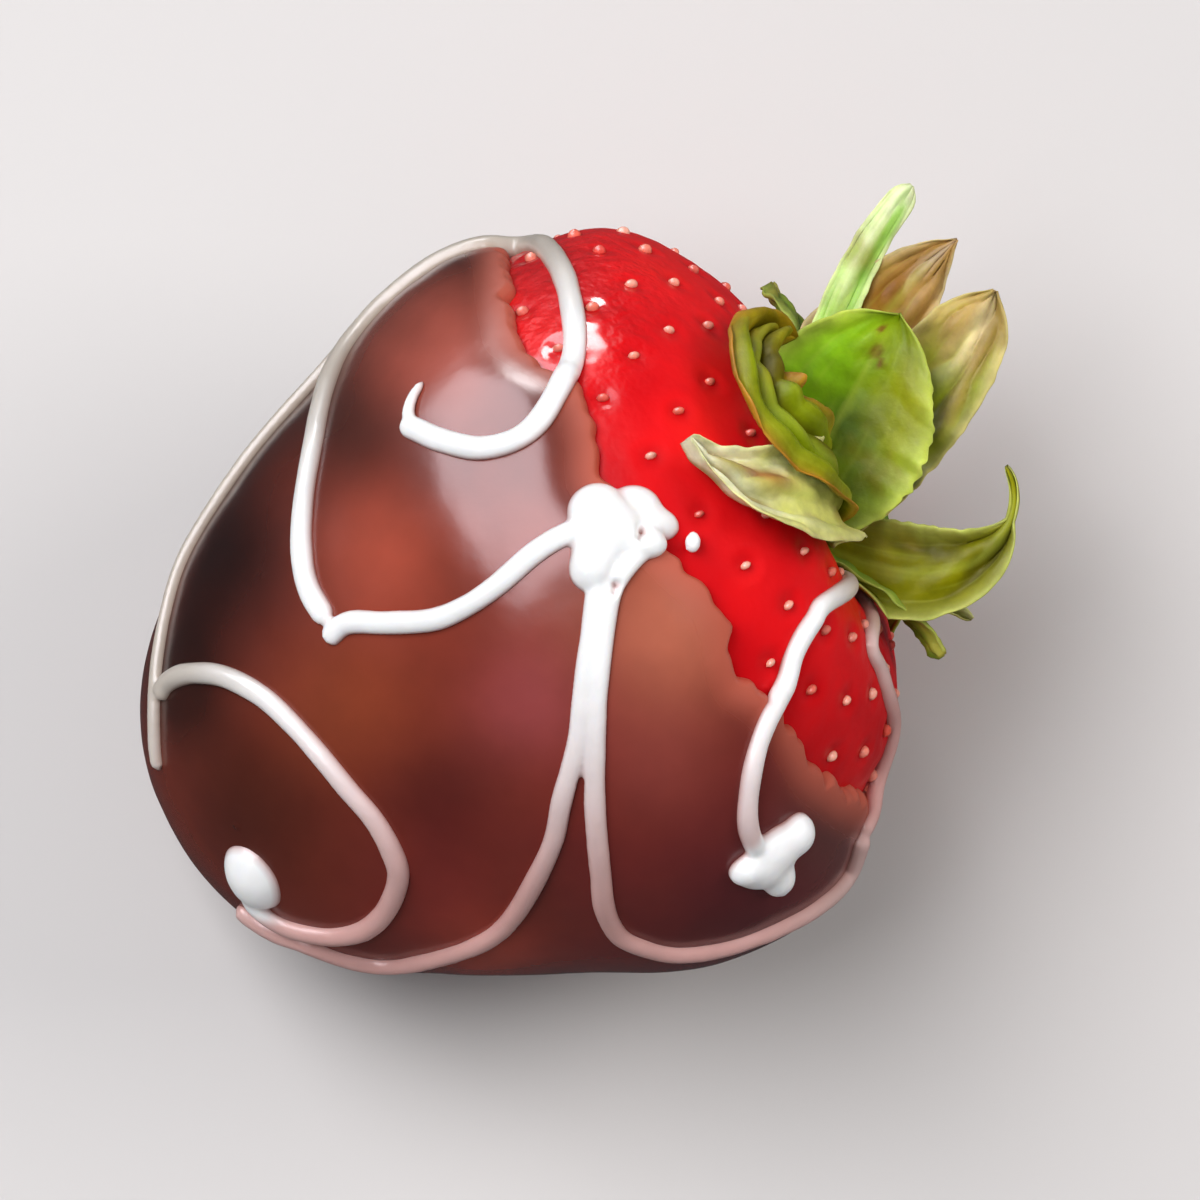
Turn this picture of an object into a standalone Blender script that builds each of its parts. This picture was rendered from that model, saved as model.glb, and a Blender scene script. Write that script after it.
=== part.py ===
"""A strawberry dipped in dark chocolate and piped with white, lying on its side.

The fruit's axis runs from its tip (-Y) to its leaves (+Y), with the leaf end tilted up.
+X is to the right of that axis, seen from above. The origin is the middle of the small
flat spot that the chocolate rests on. Three solids: the berry, the chocolate coat that
it sits in, and the leaves.
"""

import math

import bmesh
import bpy
from mathutils import Matrix, Vector, noise

MM = 0.001

# Driving sizes of the fruit. A ray leaves the body's centre at an angle from the axis,
# 0 at the leaves and 180 at the tip, and at a turn round it, 0 on top and 90 at +X.
# Each pair is (angle, length of the ray).
BODY_RAYS = (
    (0, 16.5 * MM),
    (10, 17.6 * MM),
    (22, 22.0 * MM),
    (35, 24.2 * MM),
    (50, 24.9 * MM),
    (67, 24.3 * MM),
    (85, 22.5 * MM),
    (106, 20.2 * MM),
    (128, 20.7 * MM),
    (147, 22.95 * MM),
    (165, 24.9 * MM),
    (180, 25.4 * MM),
)
# How much fuller the +X flank is than the -X one, as a share, by the same angle.
SIDE_SWELL = (
    (0, 0.0),
    (40, -0.030),
    (57, -0.058),
    (71, -0.004),
    (95, 0.022),
    (125, 0.032),
    (147, 0.048),
    (165, 0.02),
    (180, 0.0),
)
FLATNESS = 0.93
LOBE_COUNT = 3
LOBE_SHARE = 0.012
LOBE_START = 0.8
AXIS_TILT = math.radians(18)
CENTRE = Vector((0.0, -2.0 * MM, 21.2 * MM))

# The chocolate coat: its edge is a tilted ring round the shoulder, which strays towards
# the leaves by (turn in degrees, distance in millimetres). The rim thins out: (depth
# below the edge, share of the full thickness).
EDGE_LEVEL = 12.0 * MM
EDGE_SLOPE = 0.19
EDGE_STRAY = (
    (-180, 0.3), (-152, -0.3), (-118, 0.4), (-83, 0.0), (-66, 0.5), (-46, -0.5), (-39, -0.6),
    (-28, 1.1), (-20, 0.6), (-12, -0.7), (-4, -0.3), (6, 0.4), (14, 0.8), (27, -0.9),
    (34, -0.4), (42, -0.35), (53, -0.95), (66, -0.9), (84, -0.6), (98, -0.7), (130, 0.3),
    (155, -0.2), (180, 0.3),
)
EDGE_ANGLES = (math.radians(25), math.radians(110))
COAT_GAP = 0.36 * MM
COAT_THICKNESS = 1.6 * MM
RIM_THINNING = ((0.0, 0.42), (0.4 * MM, 0.5), (2.0 * MM, 0.78), (4.5 * MM, 1.0))
RIM_RINGS = (0.0, 0.007, 0.03)
FOOT_THICKNESS = 1.1 * MM
FOOT_SPREAD = math.radians(30)

# The white piping: a loaf-shaped section, sunk a little into what it lies on. The section
# is (share of the half width, share of the height), where None is the sunk underside.
PIPE_HALF_WIDTH = 0.75 * MM
PIPE_HEIGHT = 0.82 * MM
PIPE_SUNK = 0.45 * MM
PIPE_STEP = 1.83 * MM
PIPE_CLEAR = 0.45 * MM
PIPE_SECTION = ((-0.9, None), (-1.0, 0.25), (-0.45, 0.92), (0.45, 0.92), (1.0, 0.25), (0.9, None))
PIPE_ROUND_END = 0.5 * MM
PIPE_END_SIZE = 0.55
PIPE_TO_EDGE = 0.25 * MM
KNOT_STEPS = 14

# The seeds: evenly spread by the golden angle over the red shoulder.
SEED_COUNT_WHOLE = 450
SEED_LENGTH = 1.5 * MM
SEED_WIDTH = 1.0 * MM
SEED_HEIGHT = 0.36 * MM
SEED_SUNK = 0.4 * MM
SEED_SIDES = 6
SEED_LEVELS = ((None, 0.9), (0.3, 1.0))
SEED_TO_EDGE = 1.5 * MM
SEED_TO_PIPE = 1.7 * MM
GOLDEN_ANGLE = math.pi * (3 - math.sqrt(5))
CALYX_REACH = math.radians(22)

# The leaves stand on a small disc in the hollow at the axis.
DISC_LEVEL = 18.7 * MM
DISC_RADIUS = 3.0 * MM
DISC_THICKNESS = 1.5 * MM
DISC_UNDERSIDE = 0.6
DISC_TOP = 0.7
STEM_RADIUS = 1.4 * MM
STEM_FILLET = 0.6 * MM
STEM_SIDES = 12
STEM_LENGTH = 2.2 * MM
STEM_END = 0.92
LEAF_THICKNESS = 0.42 * MM
LEAF_CLEAR = 1.42 * MM
LEAF_STAGGER = 0.06 * MM
LEVEL_LEAF = 3
LEAF_WAVE = 0.7 * MM
LEAF_WAVES_ALONG = 3.4
LEAF_WAVES_ACROSS = 1.2
LEAF_WAVE_APART = 3.1
LEAF_LEAST_HALF = 0.5 * MM
LEAF_FOOT = 0.12
LEAF_BLUNT = 0.55
LEAF_SKEW = 0.9
LEAF_ROWS = 8
LEAF_COLUMNS = 4

# How finely the round body is divided, and how often a search halves its range.
HALVINGS = 34
NORMAL_SPREAD = 0.01
MERGE_DISTANCE = 0.001 * MM
CUT_TOLERANCE = 0.0001 * MM
CREASE_ANGLE = math.radians(50)
COLUMNS = 40
ROWS_RED = 10
ROWS_COATED = 8
ROWS_COAT_OUTSIDE = 13

# The body's own directions.
AXIS = Vector((0.0, math.cos(AXIS_TILT), math.sin(AXIS_TILT)))
RISE = Vector((0.0, -math.sin(AXIS_TILT), math.cos(AXIS_TILT)))
SIDE = Vector((1.0, 0.0, 0.0))

# The piping is drawn on a plane that faces a point a little towards the tip and +X.
# Plan points are (across, along) from the body's centre: across is to the right of the
# axis, along is towards the leaves.
PLAN_LEAN = math.radians(11)
PLAN_TURN = math.radians(-27)
PLAN_STEEPEST = math.radians(86)
PLAN_FACING = Vector(
    (
        -math.sin(PLAN_LEAN) * math.sin(PLAN_TURN),
        -math.sin(PLAN_LEAN) * math.cos(PLAN_TURN),
        math.cos(PLAN_LEAN),
    )
)
PLAN_ALONG = (AXIS - AXIS.dot(PLAN_FACING) * PLAN_FACING).normalized()
PLAN_ACROSS = PLAN_ALONG.cross(PLAN_FACING)

# Piped lines, as plan points in millimetres. A nozzle drew them from above.
TOP_LOOP = (
    (-16.8, -0.5), (-16.1, -1.6), (-14.6, -2.0), (-13.1, -0.7), (-11.6, 1.4), (-11.3, 4.2),
    (-12.6, 6.7), (-14.7, 9.1), (-17.8, 10.3), (-20.7, 10.6), (-22.9, 9.4), (-24.0, 7.0),
    (-24.5, 4.6), (-24.3, 2.3), (-23.1, -1.2), (-21.0, -4.4), (-18.2, -7.1), (-16.1, -8.5),
    (-13.0, -10.5), (-10.5, -11.7), (-8.1, -12.3), (-5.5, -12.0),
)
CROSS_LINE = (
    (-4.5, -12.7), (-5.0, -10.9), (-4.0, -8.6), (-3.0, -5.9), (-2.9, -3.7), (-3.3, -1.3),
    (-4.2, 1.7), (-4.5, 3.8), (-4.4, 5.9),
)
LEFT_STRAND = (
    (-2.9, 6.3), (-0.7, 4.5), (2.2, 2.7), (4.8, 1.1), (7.7, -0.6), (10.7, -3.0), (12.8, -4.5),
    (14.6, -6.5), (16.3, -8.9), (17.0, -10.8), (17.0, -13.7), (16.2, -17.5), (14.6, -20.1),
    (12.7, -22.0), (10.9, -23.9), (8.9, -25.8),
)
RIGHT_STRAND = (
    (-1.9, 9.2), (-1.3, 7.2), (0.0, 5.2), (2.5, 3.5), (5.2, 1.9), (8.2, 0.4), (11.5, -1.1),
    (13.9, -2.0), (16.3, -2.8), (18.2, -3.4), (20.1, -3.3), (21.5, -2.2), (22.6, -0.8), (23.3, 0.8),
    (23.8, 2.8), (24.0, 4.9), (24.0, 7.1), (23.8, 9.1), (23.4, 10.7), (22.8, 11.9), (20.8, 13.5),
)
RIGHT_HOOK = (
    (5.0, 19.9), (6.1, 17.8), (6.9, 16.0), (8.1, 14.3), (9.8, 12.6), (11.4, 10.9), (13.3, 9.1),
    (15.5, 7.7), (17.2, 7.0), (18.9, 6.9),
)
EDGE_LINE = (
    (5.1, 20.0), (7.0, 19.7), (9.5, 19.0), (11.6, 18.8), (13.4, 18.6), (15.2, 18.2), (17.5, 16.7),
    (19.1, 15.1), (20.8, 13.5),
)
LEFT_LOOP = (
    (-5.6, -24.2), (-6.3, -23.1), (-6.2, -21.6), (-5.1, -19.6), (-2.9, -17.8), (-0.4, -16.7),
    (2.1, -15.9), (4.7, -15.2), (7.0, -14.5), (9.2, -14.3), (11.0, -14.6), (12.6, -16.1),
    (13.3, -17.9), (13.0, -19.9), (12.0, -21.7), (10.7, -23.1), (8.9, -24.0), (7.2, -23.6),
)
FLANK_LINE = (
    (-22.9, -2.4), (-20.8, -5.4), (-18.7, -11.0), (-16.5, -15.2), (-13.5, -18.7), (-10.5, -21.4),
    (-7.7, -23.3), (-4.6, -24.9), (-1.3, -26.1),
)
# Piped lines on the sides that the plan doesn't reach: (turn from the leaves towards +X,
# fall from the plan's facing direction), in degrees.
FLANK_WAVE = ((-156, 104), (-142, 111), (-126, 112), (-111, 106), (-96, 103), (-84, 106))
TIP_WAVE = ((178, 103), (166, 109), (150, 112), (132, 110), (116, 104), (104, 103))
# Blobs where the nozzle paused: (across, along, half length, half width, turn in degrees).
BLOBS = (
    (-3.6, 6.5, 2.5, 2.2, 16),
    (-5.1, 6.4, 1.9, 1.75, 16),
    (-4.1, 8.7, 1.7, 1.6, -24),
    (-2.8, 9.3, 1.75, 1.0, -19),
    (-2.1, 4.8, 1.7, 1.35, 51),
    (-0.8, 10.9, 0.65, 0.4, 56),
    (19.5, 7.2, 2.2, 2.0, 6),
    (18.9, 9.6, 1.4, 1.3, -24),
    (21.2, 7.6, 1.15, 0.9, -94),
    (19.6, 5.7, 1.0, 0.8, -4),
    (7.4, -23.5, 2.5, 2.0, 45),
)
BLOB_HEIGHT = 1.35 * MM
BLOB_SIDES = 9
BLOB_LEVELS = ((None, 0.95), (0.25, 1.0), (0.75, 0.72))

# Standing leaves: heading is degrees to the left (-X) of the axis in plan, climb is degrees
# towards the plan's facing side, and start is (across, towards that side) on the disc.
# Lying leaves: turn and angle are those of the body's rays, and lift is the height over
# the skin. Each is given at the base, the middle and the tip. Roll turns the blade round
# its own midrib, cup bends its sides up, and point is 0 for a round tip and 1 for a sharp one.
STANDING_LEAVES = (
    {"start": (-0.2, 2.6), "heading": (42, 38, 34), "climb": (0, 4, 14), "length": 14.2,
     "width": 12.6, "roll": 0, "cup": 0.36, "point": 0.0},
    {"start": (-1.0, 0.4), "heading": (61, 46, 25), "climb": (-10, -6, -2), "length": 22.3,
     "width": 3.0, "roll": 10, "cup": 0.1, "point": 0.0},
    {"start": (-0.4, 0.0), "heading": (48, 37, 13), "climb": (-12, -6, 4), "length": 20.6,
     "width": 8.6, "roll": 4, "cup": 0.2, "point": 0.75},
    {"start": (0.6, 0.2), "heading": (16, 25, 37), "climb": (-8, 0, 6), "length": 19.6,
     "width": 7.5, "roll": -6, "cup": 0.3, "point": 0.0},
    {"start": (2.4, 0.8), "heading": (-50, -25, 44), "climb": (10, 4, 4), "length": 14.4,
     "width": 6.4, "roll": -8, "cup": 0.3, "point": 0.3},
    {"start": (1.6, -0.6), "heading": (-50, -50, -66), "climb": (-6, -10, -12), "length": 12.2,
     "width": 3.4, "roll": -30, "cup": 0.2, "point": 0.6},
    {"start": (0.0, -1.6), "heading": (8, 20, 40), "climb": (-62, -50, -36), "length": 12.5,
     "width": 7.0, "roll": 0, "cup": -0.2, "point": 0.5},
)
LYING_LEAVES = (
    {"turn": (0, -18, -60), "angle": (5, 37, 26), "lift": (1.9, 2.0, 1.9),
     "width": 6.6, "roll": 14, "cup": 0.3, "point": 0.3},
    {"turn": (5, 2, -13), "angle": (5, 36, 53), "lift": (1.8, 1.6, 2.2),
     "width": 7.0, "roll": 0, "cup": 0.1, "point": 0.7},
    {"turn": (172, 165, 150), "angle": (5, 28, 46), "lift": (1.8, 1.4, 1.6),
     "width": 7.0, "roll": 0, "cup": 0.1, "point": 0.6},
    {"turn": (-112, -118, -128), "angle": (5, 27, 42), "lift": (1.8, 1.4, 2.4),
     "width": 6.0, "roll": 0, "cup": 0.1, "point": 0.6},
    {"turn": (108, 102, 94), "angle": (5, 20, 28), "lift": (1.8, 1.5, 3.0),
     "width": 6.0, "roll": 0, "cup": 0.1, "point": 0.6},
)

COLOURS = {
    "berry": ((0.74, 0.012, 0.010, 1.0), 0.22),
    "chocolate_coat": ((0.085, 0.022, 0.012, 1.0), 0.30),
    "calyx": ((0.15, 0.24, 0.02, 1.0), 0.55),
}


def between(pairs, at):
    """The smooth curve through (position, value) pairs, level at both ends."""
    last = len(pairs) - 1
    index = 0
    while index < last - 1 and at > pairs[index + 1][0]:
        index += 1

    def slope(k):
        if k in (0, last):
            return 0.0
        return (pairs[k + 1][1] - pairs[k - 1][1]) / (pairs[k + 1][0] - pairs[k - 1][0])

    span = pairs[index + 1][0] - pairs[index][0]
    t = min(max((at - pairs[index][0]) / span, 0.0), 1.0)
    start, end = pairs[index][1], pairs[index + 1][1]
    return (
        start * (1 + 2 * t) * (1 - t) ** 2
        + end * t * t * (3 - 2 * t)
        + slope(index) * span * t * (1 - t) ** 2
        + slope(index + 1) * span * t * t * (t - 1)
    )


def ray_direction(angle, turn):
    """The ray's direction, not unit: the body is a little flatter than it is wide."""
    across = math.sin(angle)
    return AXIS * math.cos(angle) + (SIDE * math.sin(turn) + RISE * math.cos(turn) * FLATNESS) * across


def ray_length(angle, turn):
    """The bare fruit's ray: the turned profile, with three soft lobes and a fuller flank."""
    degrees = math.degrees(angle)
    lobes = LOBE_SHARE * math.cos(LOBE_COUNT * turn + LOBE_START) * math.sin(angle) ** 2
    swell = between(SIDE_SWELL, degrees) * math.sin(turn)
    return between(BODY_RAYS, degrees) * (1 + lobes + swell)


def body_point(angle, turn, lift=0.0):
    """A point on the fruit's skin, or lift above it along the ray."""
    ray = ray_direction(angle, turn)
    return CENTRE + ray * ray_length(angle, turn) + ray.normalized() * lift


def angles_towards(direction):
    """The angle and turn of the ray that points along a direction."""
    side = direction.dot(SIDE)
    rise = direction.dot(RISE) / FLATNESS
    return math.atan2(math.hypot(side, rise), direction.dot(AXIS)), math.atan2(side, rise)


def edge_level(turn, side_offset):
    """How far along the axis the chocolate's edge lies, at a turn round it."""
    degrees = (math.degrees(turn) + 180) % 360 - 180
    return EDGE_LEVEL + EDGE_SLOPE * side_offset + between(EDGE_STRAY, degrees) * MM


def depth_in_coat(direction):
    """How far below the chocolate's edge a point is; negative on the bare shoulder."""
    angle, turn = angles_towards(direction)
    offset = ray_direction(angle, turn) * ray_length(angle, turn)
    return edge_level(turn, offset.dot(SIDE)) - offset.dot(AXIS)


def edge_angle(turn):
    """The ray angle at which the chocolate's edge crosses a turn, by halving."""
    low, high = EDGE_ANGLES
    for _ in range(HALVINGS):
        middle = (low + high) / 2
        if depth_in_coat(ray_direction(middle, turn)) < 0:
            low = middle
        else:
            high = middle
    return (low + high) / 2


def coat_lift(direction):
    """How far the chocolate's outside stands off the fruit along a ray."""
    depth = depth_in_coat(direction)
    share = between(RIM_THINNING, depth)
    down = direction.normalized().angle(Vector((0, 0, -1)))
    foot = FOOT_THICKNESS * math.exp(-((down / FOOT_SPREAD) ** 2))
    return COAT_GAP + COAT_THICKNESS * share + foot


def surface(direction, on_coat):
    """The point on the coat or on the bare fruit, straight out along a direction."""
    angle, turn = angles_towards(direction)
    return body_point(angle, turn, coat_lift(direction) if on_coat else 0.0)


def surface_normal(direction, on_coat):
    """The outward normal there, from three points close together."""
    first = direction.orthogonal().normalized() * NORMAL_SPREAD
    second = direction.cross(first).normalized() * NORMAL_SPREAD
    here = surface(direction, on_coat)
    normal = (surface(direction + first, on_coat) - here).cross(surface(direction + second, on_coat) - here)
    return normal.normalized() if normal.dot(direction) > 0 else -normal.normalized()


def new_object(name, points, faces):
    """An object from points and faces, with its normals made to face out."""
    mesh = bpy.data.meshes.new(name)
    mesh.from_pydata([tuple(point) for point in points], [], faces)
    model = bmesh.new()
    model.from_mesh(mesh)
    bmesh.ops.recalc_face_normals(model, faces=model.faces)
    model.to_mesh(mesh)
    model.free()
    obj = bpy.data.objects.new(name, mesh)
    bpy.context.scene.collection.objects.link(obj)
    return obj


def closed_rings(name, rings, first_point=None, last_point=None):
    """A closed solid through rings of equal count, with a point or a flat face at each end."""
    count = len(rings[0])
    points = [point for ring in rings for point in ring]
    faces = []
    for level in range(len(rings) - 1):
        for step in range(count):
            after = (step + 1) % count
            here, there = level * count, (level + 1) * count
            faces.append((here + step, here + after, there + after, there + step))
    for start, pole in ((0, first_point), ((len(rings) - 1) * count, last_point)):
        if pole is None:
            faces.append(tuple(range(start, start + count)))
            continue
        points.append(pole)
        faces += [(start + step, start + (step + 1) % count, len(points) - 1) for step in range(count)]
    return new_object(name, points, faces)


def ring_at(angle_of_turn, lift_of_direction):
    """One ring round the axis, at an angle and a lift that may vary with the turn."""
    ring = []
    for step in range(COLUMNS):
        turn = 2 * math.pi * step / COLUMNS
        angle = angle_of_turn(turn)
        ring.append(body_point(angle, turn, lift_of_direction(ray_direction(angle, turn))))
    return ring


def coated_angle(share):
    """A ring's angle at a share of the way from the chocolate's edge to the tip."""
    return lambda turn: edge_angle(turn) + (math.pi - edge_angle(turn)) * share


def red_angle(share):
    """A ring's angle at a share of the way from the leaves to the chocolate's edge."""
    return lambda turn: edge_angle(turn) * share


def make_fruit():
    """The whole berry, bare: red rows down to the edge, coarser rows inside the coat."""
    angles = [red_angle((row + 1) / ROWS_RED) for row in range(ROWS_RED)]
    angles += [coated_angle((row + 1) / ROWS_COATED) for row in range(ROWS_COATED - 1)]
    rings = [ring_at(angle, lambda _: 0.0) for angle in angles]
    return closed_rings("berry", rings, body_point(0, 0), body_point(math.pi, 0))


def make_shell():
    """The coat: one skin from the tip inside, over the rim, to the tip outside."""
    inside = [coated_angle(row / ROWS_COATED) for row in range(ROWS_COATED - 1, -1, -1)]
    rings = [ring_at(angle, lambda _: COAT_GAP) for angle in inside]
    last_rim = RIM_RINGS[-1]
    shares = list(RIM_RINGS)
    shares += [last_rim + (1 - last_rim) * row / ROWS_COAT_OUTSIDE for row in range(1, ROWS_COAT_OUTSIDE)]
    rings += [ring_at(coated_angle(share), coat_lift) for share in shares]
    tip = AXIS * -1
    shell = closed_rings(
        "chocolate_coat", rings, body_point(math.pi, 0, COAT_GAP), body_point(math.pi, 0, coat_lift(tip))
    )
    flatten_foot(shell)
    return shell


def flatten_foot(obj):
    """Cut the coat off level at the floor and close it with one flat face."""
    model = bmesh.new()
    model.from_mesh(obj.data)
    geometry = model.verts[:] + model.edges[:] + model.faces[:]
    cut = bmesh.ops.bisect_plane(
        model, geom=geometry, dist=CUT_TOLERANCE, plane_co=(0, 0, 0), plane_no=(0, 0, -1), clear_outer=True
    )
    edges = [item for item in cut["geom_cut"] if isinstance(item, bmesh.types.BMEdge)]
    bmesh.ops.contextual_create(model, geom=edges)
    bmesh.ops.recalc_face_normals(model, faces=model.faces)
    model.to_mesh(obj.data)
    model.free()


def plan_direction(across, along):
    """The direction from the centre to the skin point that a plan point lies over."""
    reach = math.hypot(across, along) * MM
    heading = (PLAN_ACROSS * across + PLAN_ALONG * along).normalized()

    def towards(fall):
        return PLAN_FACING * math.cos(fall) + heading * math.sin(fall)

    def spread(fall):
        direction = towards(fall)
        return (surface(direction, depth_in_coat(direction) > 0) - CENTRE).dot(heading)

    low, high = 0.0, PLAN_STEEPEST
    for _ in range(HALVINGS):
        middle = (low + high) / 2
        if spread(middle) < reach:
            low = middle
        else:
            high = middle
    return towards((low + high) / 2)


def turned_direction(turn, fall):
    """The direction at a turn from the leaves and a fall from the plan's facing."""
    turn, fall = math.radians(turn), math.radians(fall)
    heading = PLAN_ALONG * math.cos(turn) + PLAN_ACROSS * math.sin(turn)
    return PLAN_FACING * math.cos(fall) + heading * math.sin(fall)


def smooth_path(knots):
    """Directions on a smooth curve through the knots."""
    path = []
    padded = [knots[0] * 2 - knots[1]] + list(knots) + [knots[-1] * 2 - knots[-2]]
    for index in range(1, len(padded) - 2):
        before, start, end, after = padded[index - 1:index + 3]
        for step in range(KNOT_STEPS):
            t = step / KNOT_STEPS
            point = (
                start * 2
                + (end - before) * t
                + (before * 2 - start * 5 + end * 4 - after) * t * t
                + (start * 3 - before - end * 3 + after) * t ** 3
            )
            path.append(point.normalized())
    path.append(knots[-1].normalized())
    return path


def split_at_edge(path):
    """Runs of the path that lie wholly on the coat or wholly on the bare shoulder."""
    runs = []
    for direction in path:
        depth = depth_in_coat(direction)
        angle = angles_towards(direction)[0]
        if depth > PIPE_TO_EDGE:
            place = "coat"
        elif depth < -(PIPE_HALF_WIDTH + PIPE_CLEAR) and angle > CALYX_REACH:
            place = "bare"
        else:
            place = None
        if not runs or runs[-1][0] != place:
            runs.append((place, []))
        runs[-1][1].append(direction)
    return [(place, run) for place, run in runs if place and len(run) > 3]


def spaced(run, on_coat):
    """Directions along a run, evenly spaced, with closer ones at both ends."""
    points = [surface(direction, on_coat) for direction in run]
    travelled = [0.0]
    for index in range(1, len(points)):
        travelled.append(travelled[-1] + (points[index] - points[index - 1]).length)
    total = travelled[-1]
    stretch = max(total - 2 * PIPE_ROUND_END, PIPE_ROUND_END / 2)
    count = max(1, round(stretch / PIPE_STEP))
    stops = [0.0] + [PIPE_ROUND_END + stretch * k / count for k in range(count + 1)] + [total]
    chosen = []
    index = 0
    for stop in stops:
        while index < len(points) - 2 and travelled[index + 1] < stop:
            index += 1
        span = max(travelled[index + 1] - travelled[index], 1e-9)
        share = min(max((stop - travelled[index]) / span, 0.0), 1.0)
        chosen.append(run[index].lerp(run[index + 1], share).normalized())
    return chosen


def make_strand(name, run, on_coat):
    """One piped strand: a loaf section carried along the run, with rounded ends."""
    stations = spaced(run, on_coat)
    rings = []
    for index, direction in enumerate(stations):
        back = surface(stations[max(index - 1, 0)], on_coat)
        front = surface(stations[min(index + 1, len(stations) - 1)], on_coat)
        normal = surface_normal(direction, on_coat)
        across = (front - back).cross(normal).normalized()
        size = PIPE_END_SIZE if index in (0, len(stations) - 1) else 1.0
        foot = surface(direction, on_coat)
        ring = []
        for side, height in PIPE_SECTION:
            lift = -PIPE_SUNK if height is None else PIPE_HEIGHT * height * size
            ring.append(foot + across * (side * PIPE_HALF_WIDTH * size) + normal * lift)
        rings.append(ring)
    return closed_rings(name, rings)


def make_dome(name, direction, on_coat, heading, shape):
    """A low dome on the skin. Its shape is half its length along the heading and half its
    width across it, how far it is sunk and how far it stands up, its number of sides, and
    its levels as (share of the height, share of the size), where None is the sunk underside.
    """
    sizes, (sunk, height), sides, levels = shape
    normal = surface_normal(direction, on_coat)
    along = (heading - normal * heading.dot(normal)).normalized()
    across = normal.cross(along)
    foot = surface(direction, on_coat)
    rings = []
    for level, share in levels:
        lift = -sunk if level is None else height * level
        ring = []
        for step in range(sides):
            turn = 2 * math.pi * step / sides
            offset = along * (sizes[0] * math.cos(turn)) + across * (sizes[1] * math.sin(turn))
            ring.append(foot + offset * share + normal * lift)
        rings.append(ring)
    return closed_rings(name, rings, None, foot + normal * height)


def make_blob(index, across, along, half_length, half_width, turn):
    """A pause of the nozzle: a round dollop on the coat or on the bare shoulder."""
    direction = plan_direction(across, along)
    on_coat = depth_in_coat(direction) > -(half_length * MM + PIPE_CLEAR)
    heading = Matrix.Rotation(math.radians(turn), 3, PLAN_FACING) @ PLAN_ALONG
    sizes = (half_length * MM, half_width * MM)
    shape = (sizes, (PIPE_SUNK, BLOB_HEIGHT), BLOB_SIDES, BLOB_LEVELS)
    return on_coat, make_dome(f"blob_{index}", direction, on_coat, heading, shape)


def make_piping():
    """Every strand and blob, sorted by what it lies on."""
    lines = [TOP_LOOP, CROSS_LINE, LEFT_STRAND, RIGHT_STRAND, RIGHT_HOOK, EDGE_LINE, LEFT_LOOP, FLANK_LINE]
    knots = [[plan_direction(*point) for point in line] for line in lines]
    knots += [[turned_direction(*point) for point in line] for line in (FLANK_WAVE, TIP_WAVE)]
    pieces = {"coat": [], "bare": []}
    bare_directions = []
    for number, line in enumerate(knots):
        for part, (place, run) in enumerate(split_at_edge(smooth_path(line))):
            pieces[place].append(make_strand(f"strand_{number}_{part}", run, place == "coat"))
            if place == "bare":
                bare_directions += run
    for index, blob in enumerate(BLOBS):
        on_coat, obj = make_blob(index, *blob)
        pieces["coat" if on_coat else "bare"].append(obj)
    return pieces, bare_directions


def make_seeds(bare_directions):
    """Seeds on the red shoulder, clear of the edge, the piping and the leaves."""
    seeds = []
    taken = [surface(direction, False) for direction in bare_directions]
    for index in range(SEED_COUNT_WHOLE):
        angle = math.acos(1 - 2 * (index + 0.5) / SEED_COUNT_WHOLE)
        turn = index * GOLDEN_ANGLE
        direction = ray_direction(angle, turn)
        if angle < CALYX_REACH or depth_in_coat(direction) > -SEED_TO_EDGE:
            continue
        place = surface(direction, False)
        if any((place - other).length < SEED_TO_PIPE for other in taken):
            continue
        sizes = (SEED_LENGTH / 2, SEED_WIDTH / 2)
        shape = (sizes, (SEED_SUNK, SEED_HEIGHT), SEED_SIDES, SEED_LEVELS)
        seeds.append(make_dome(f"seed_{index}", direction, False, AXIS * -1, shape))
    return seeds


def leaf_outline(share, width, point):
    """Half the blade's width at a share of its length: narrow foot, full middle, then the tip."""
    along = LEAF_FOOT + (1 - LEAF_FOOT) * share
    full = math.sin(math.pi * min(along, 1.0) ** LEAF_SKEW) ** (LEAF_BLUNT + (1 - LEAF_BLUNT) * point)
    return max(width * MM / 2 * full, LEAF_LEAST_HALF)


def bent(values, share):
    """A value that passes through its base, middle and tip amounts."""
    base, middle, tip = values
    start = base * (1 - share) * (1 - 2 * share)
    return start + middle * 4 * share * (1 - share) + tip * share * (2 * share - 1)


def standing_midrib(leaf, number):
    """Places along a leaf that stands off the fruit, each with the way its blade faces."""
    step_length = leaf["length"] * MM / LEAF_ROWS
    across, towards = leaf["start"]
    place = CENTRE + AXIS * (DISC_LEVEL + LEAF_STAGGER * (number - LEVEL_LEAF))
    place = place + PLAN_ACROSS * (across * MM) + PLAN_FACING * (towards * MM)
    stations = []
    for row in range(LEAF_ROWS + 1):
        heading = math.radians(bent(leaf["heading"], row / LEAF_ROWS))
        climb = math.radians(bent(leaf["climb"], row / LEAF_ROWS))
        level = PLAN_ALONG * math.cos(heading) - PLAN_ACROSS * math.sin(heading)
        forward = level * math.cos(climb) + PLAN_FACING * math.sin(climb)
        facing = PLAN_FACING * math.cos(climb) - level * math.sin(climb)
        if row:
            place = place + forward * step_length
        stations.append((place, forward, facing))
    return stations


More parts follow.
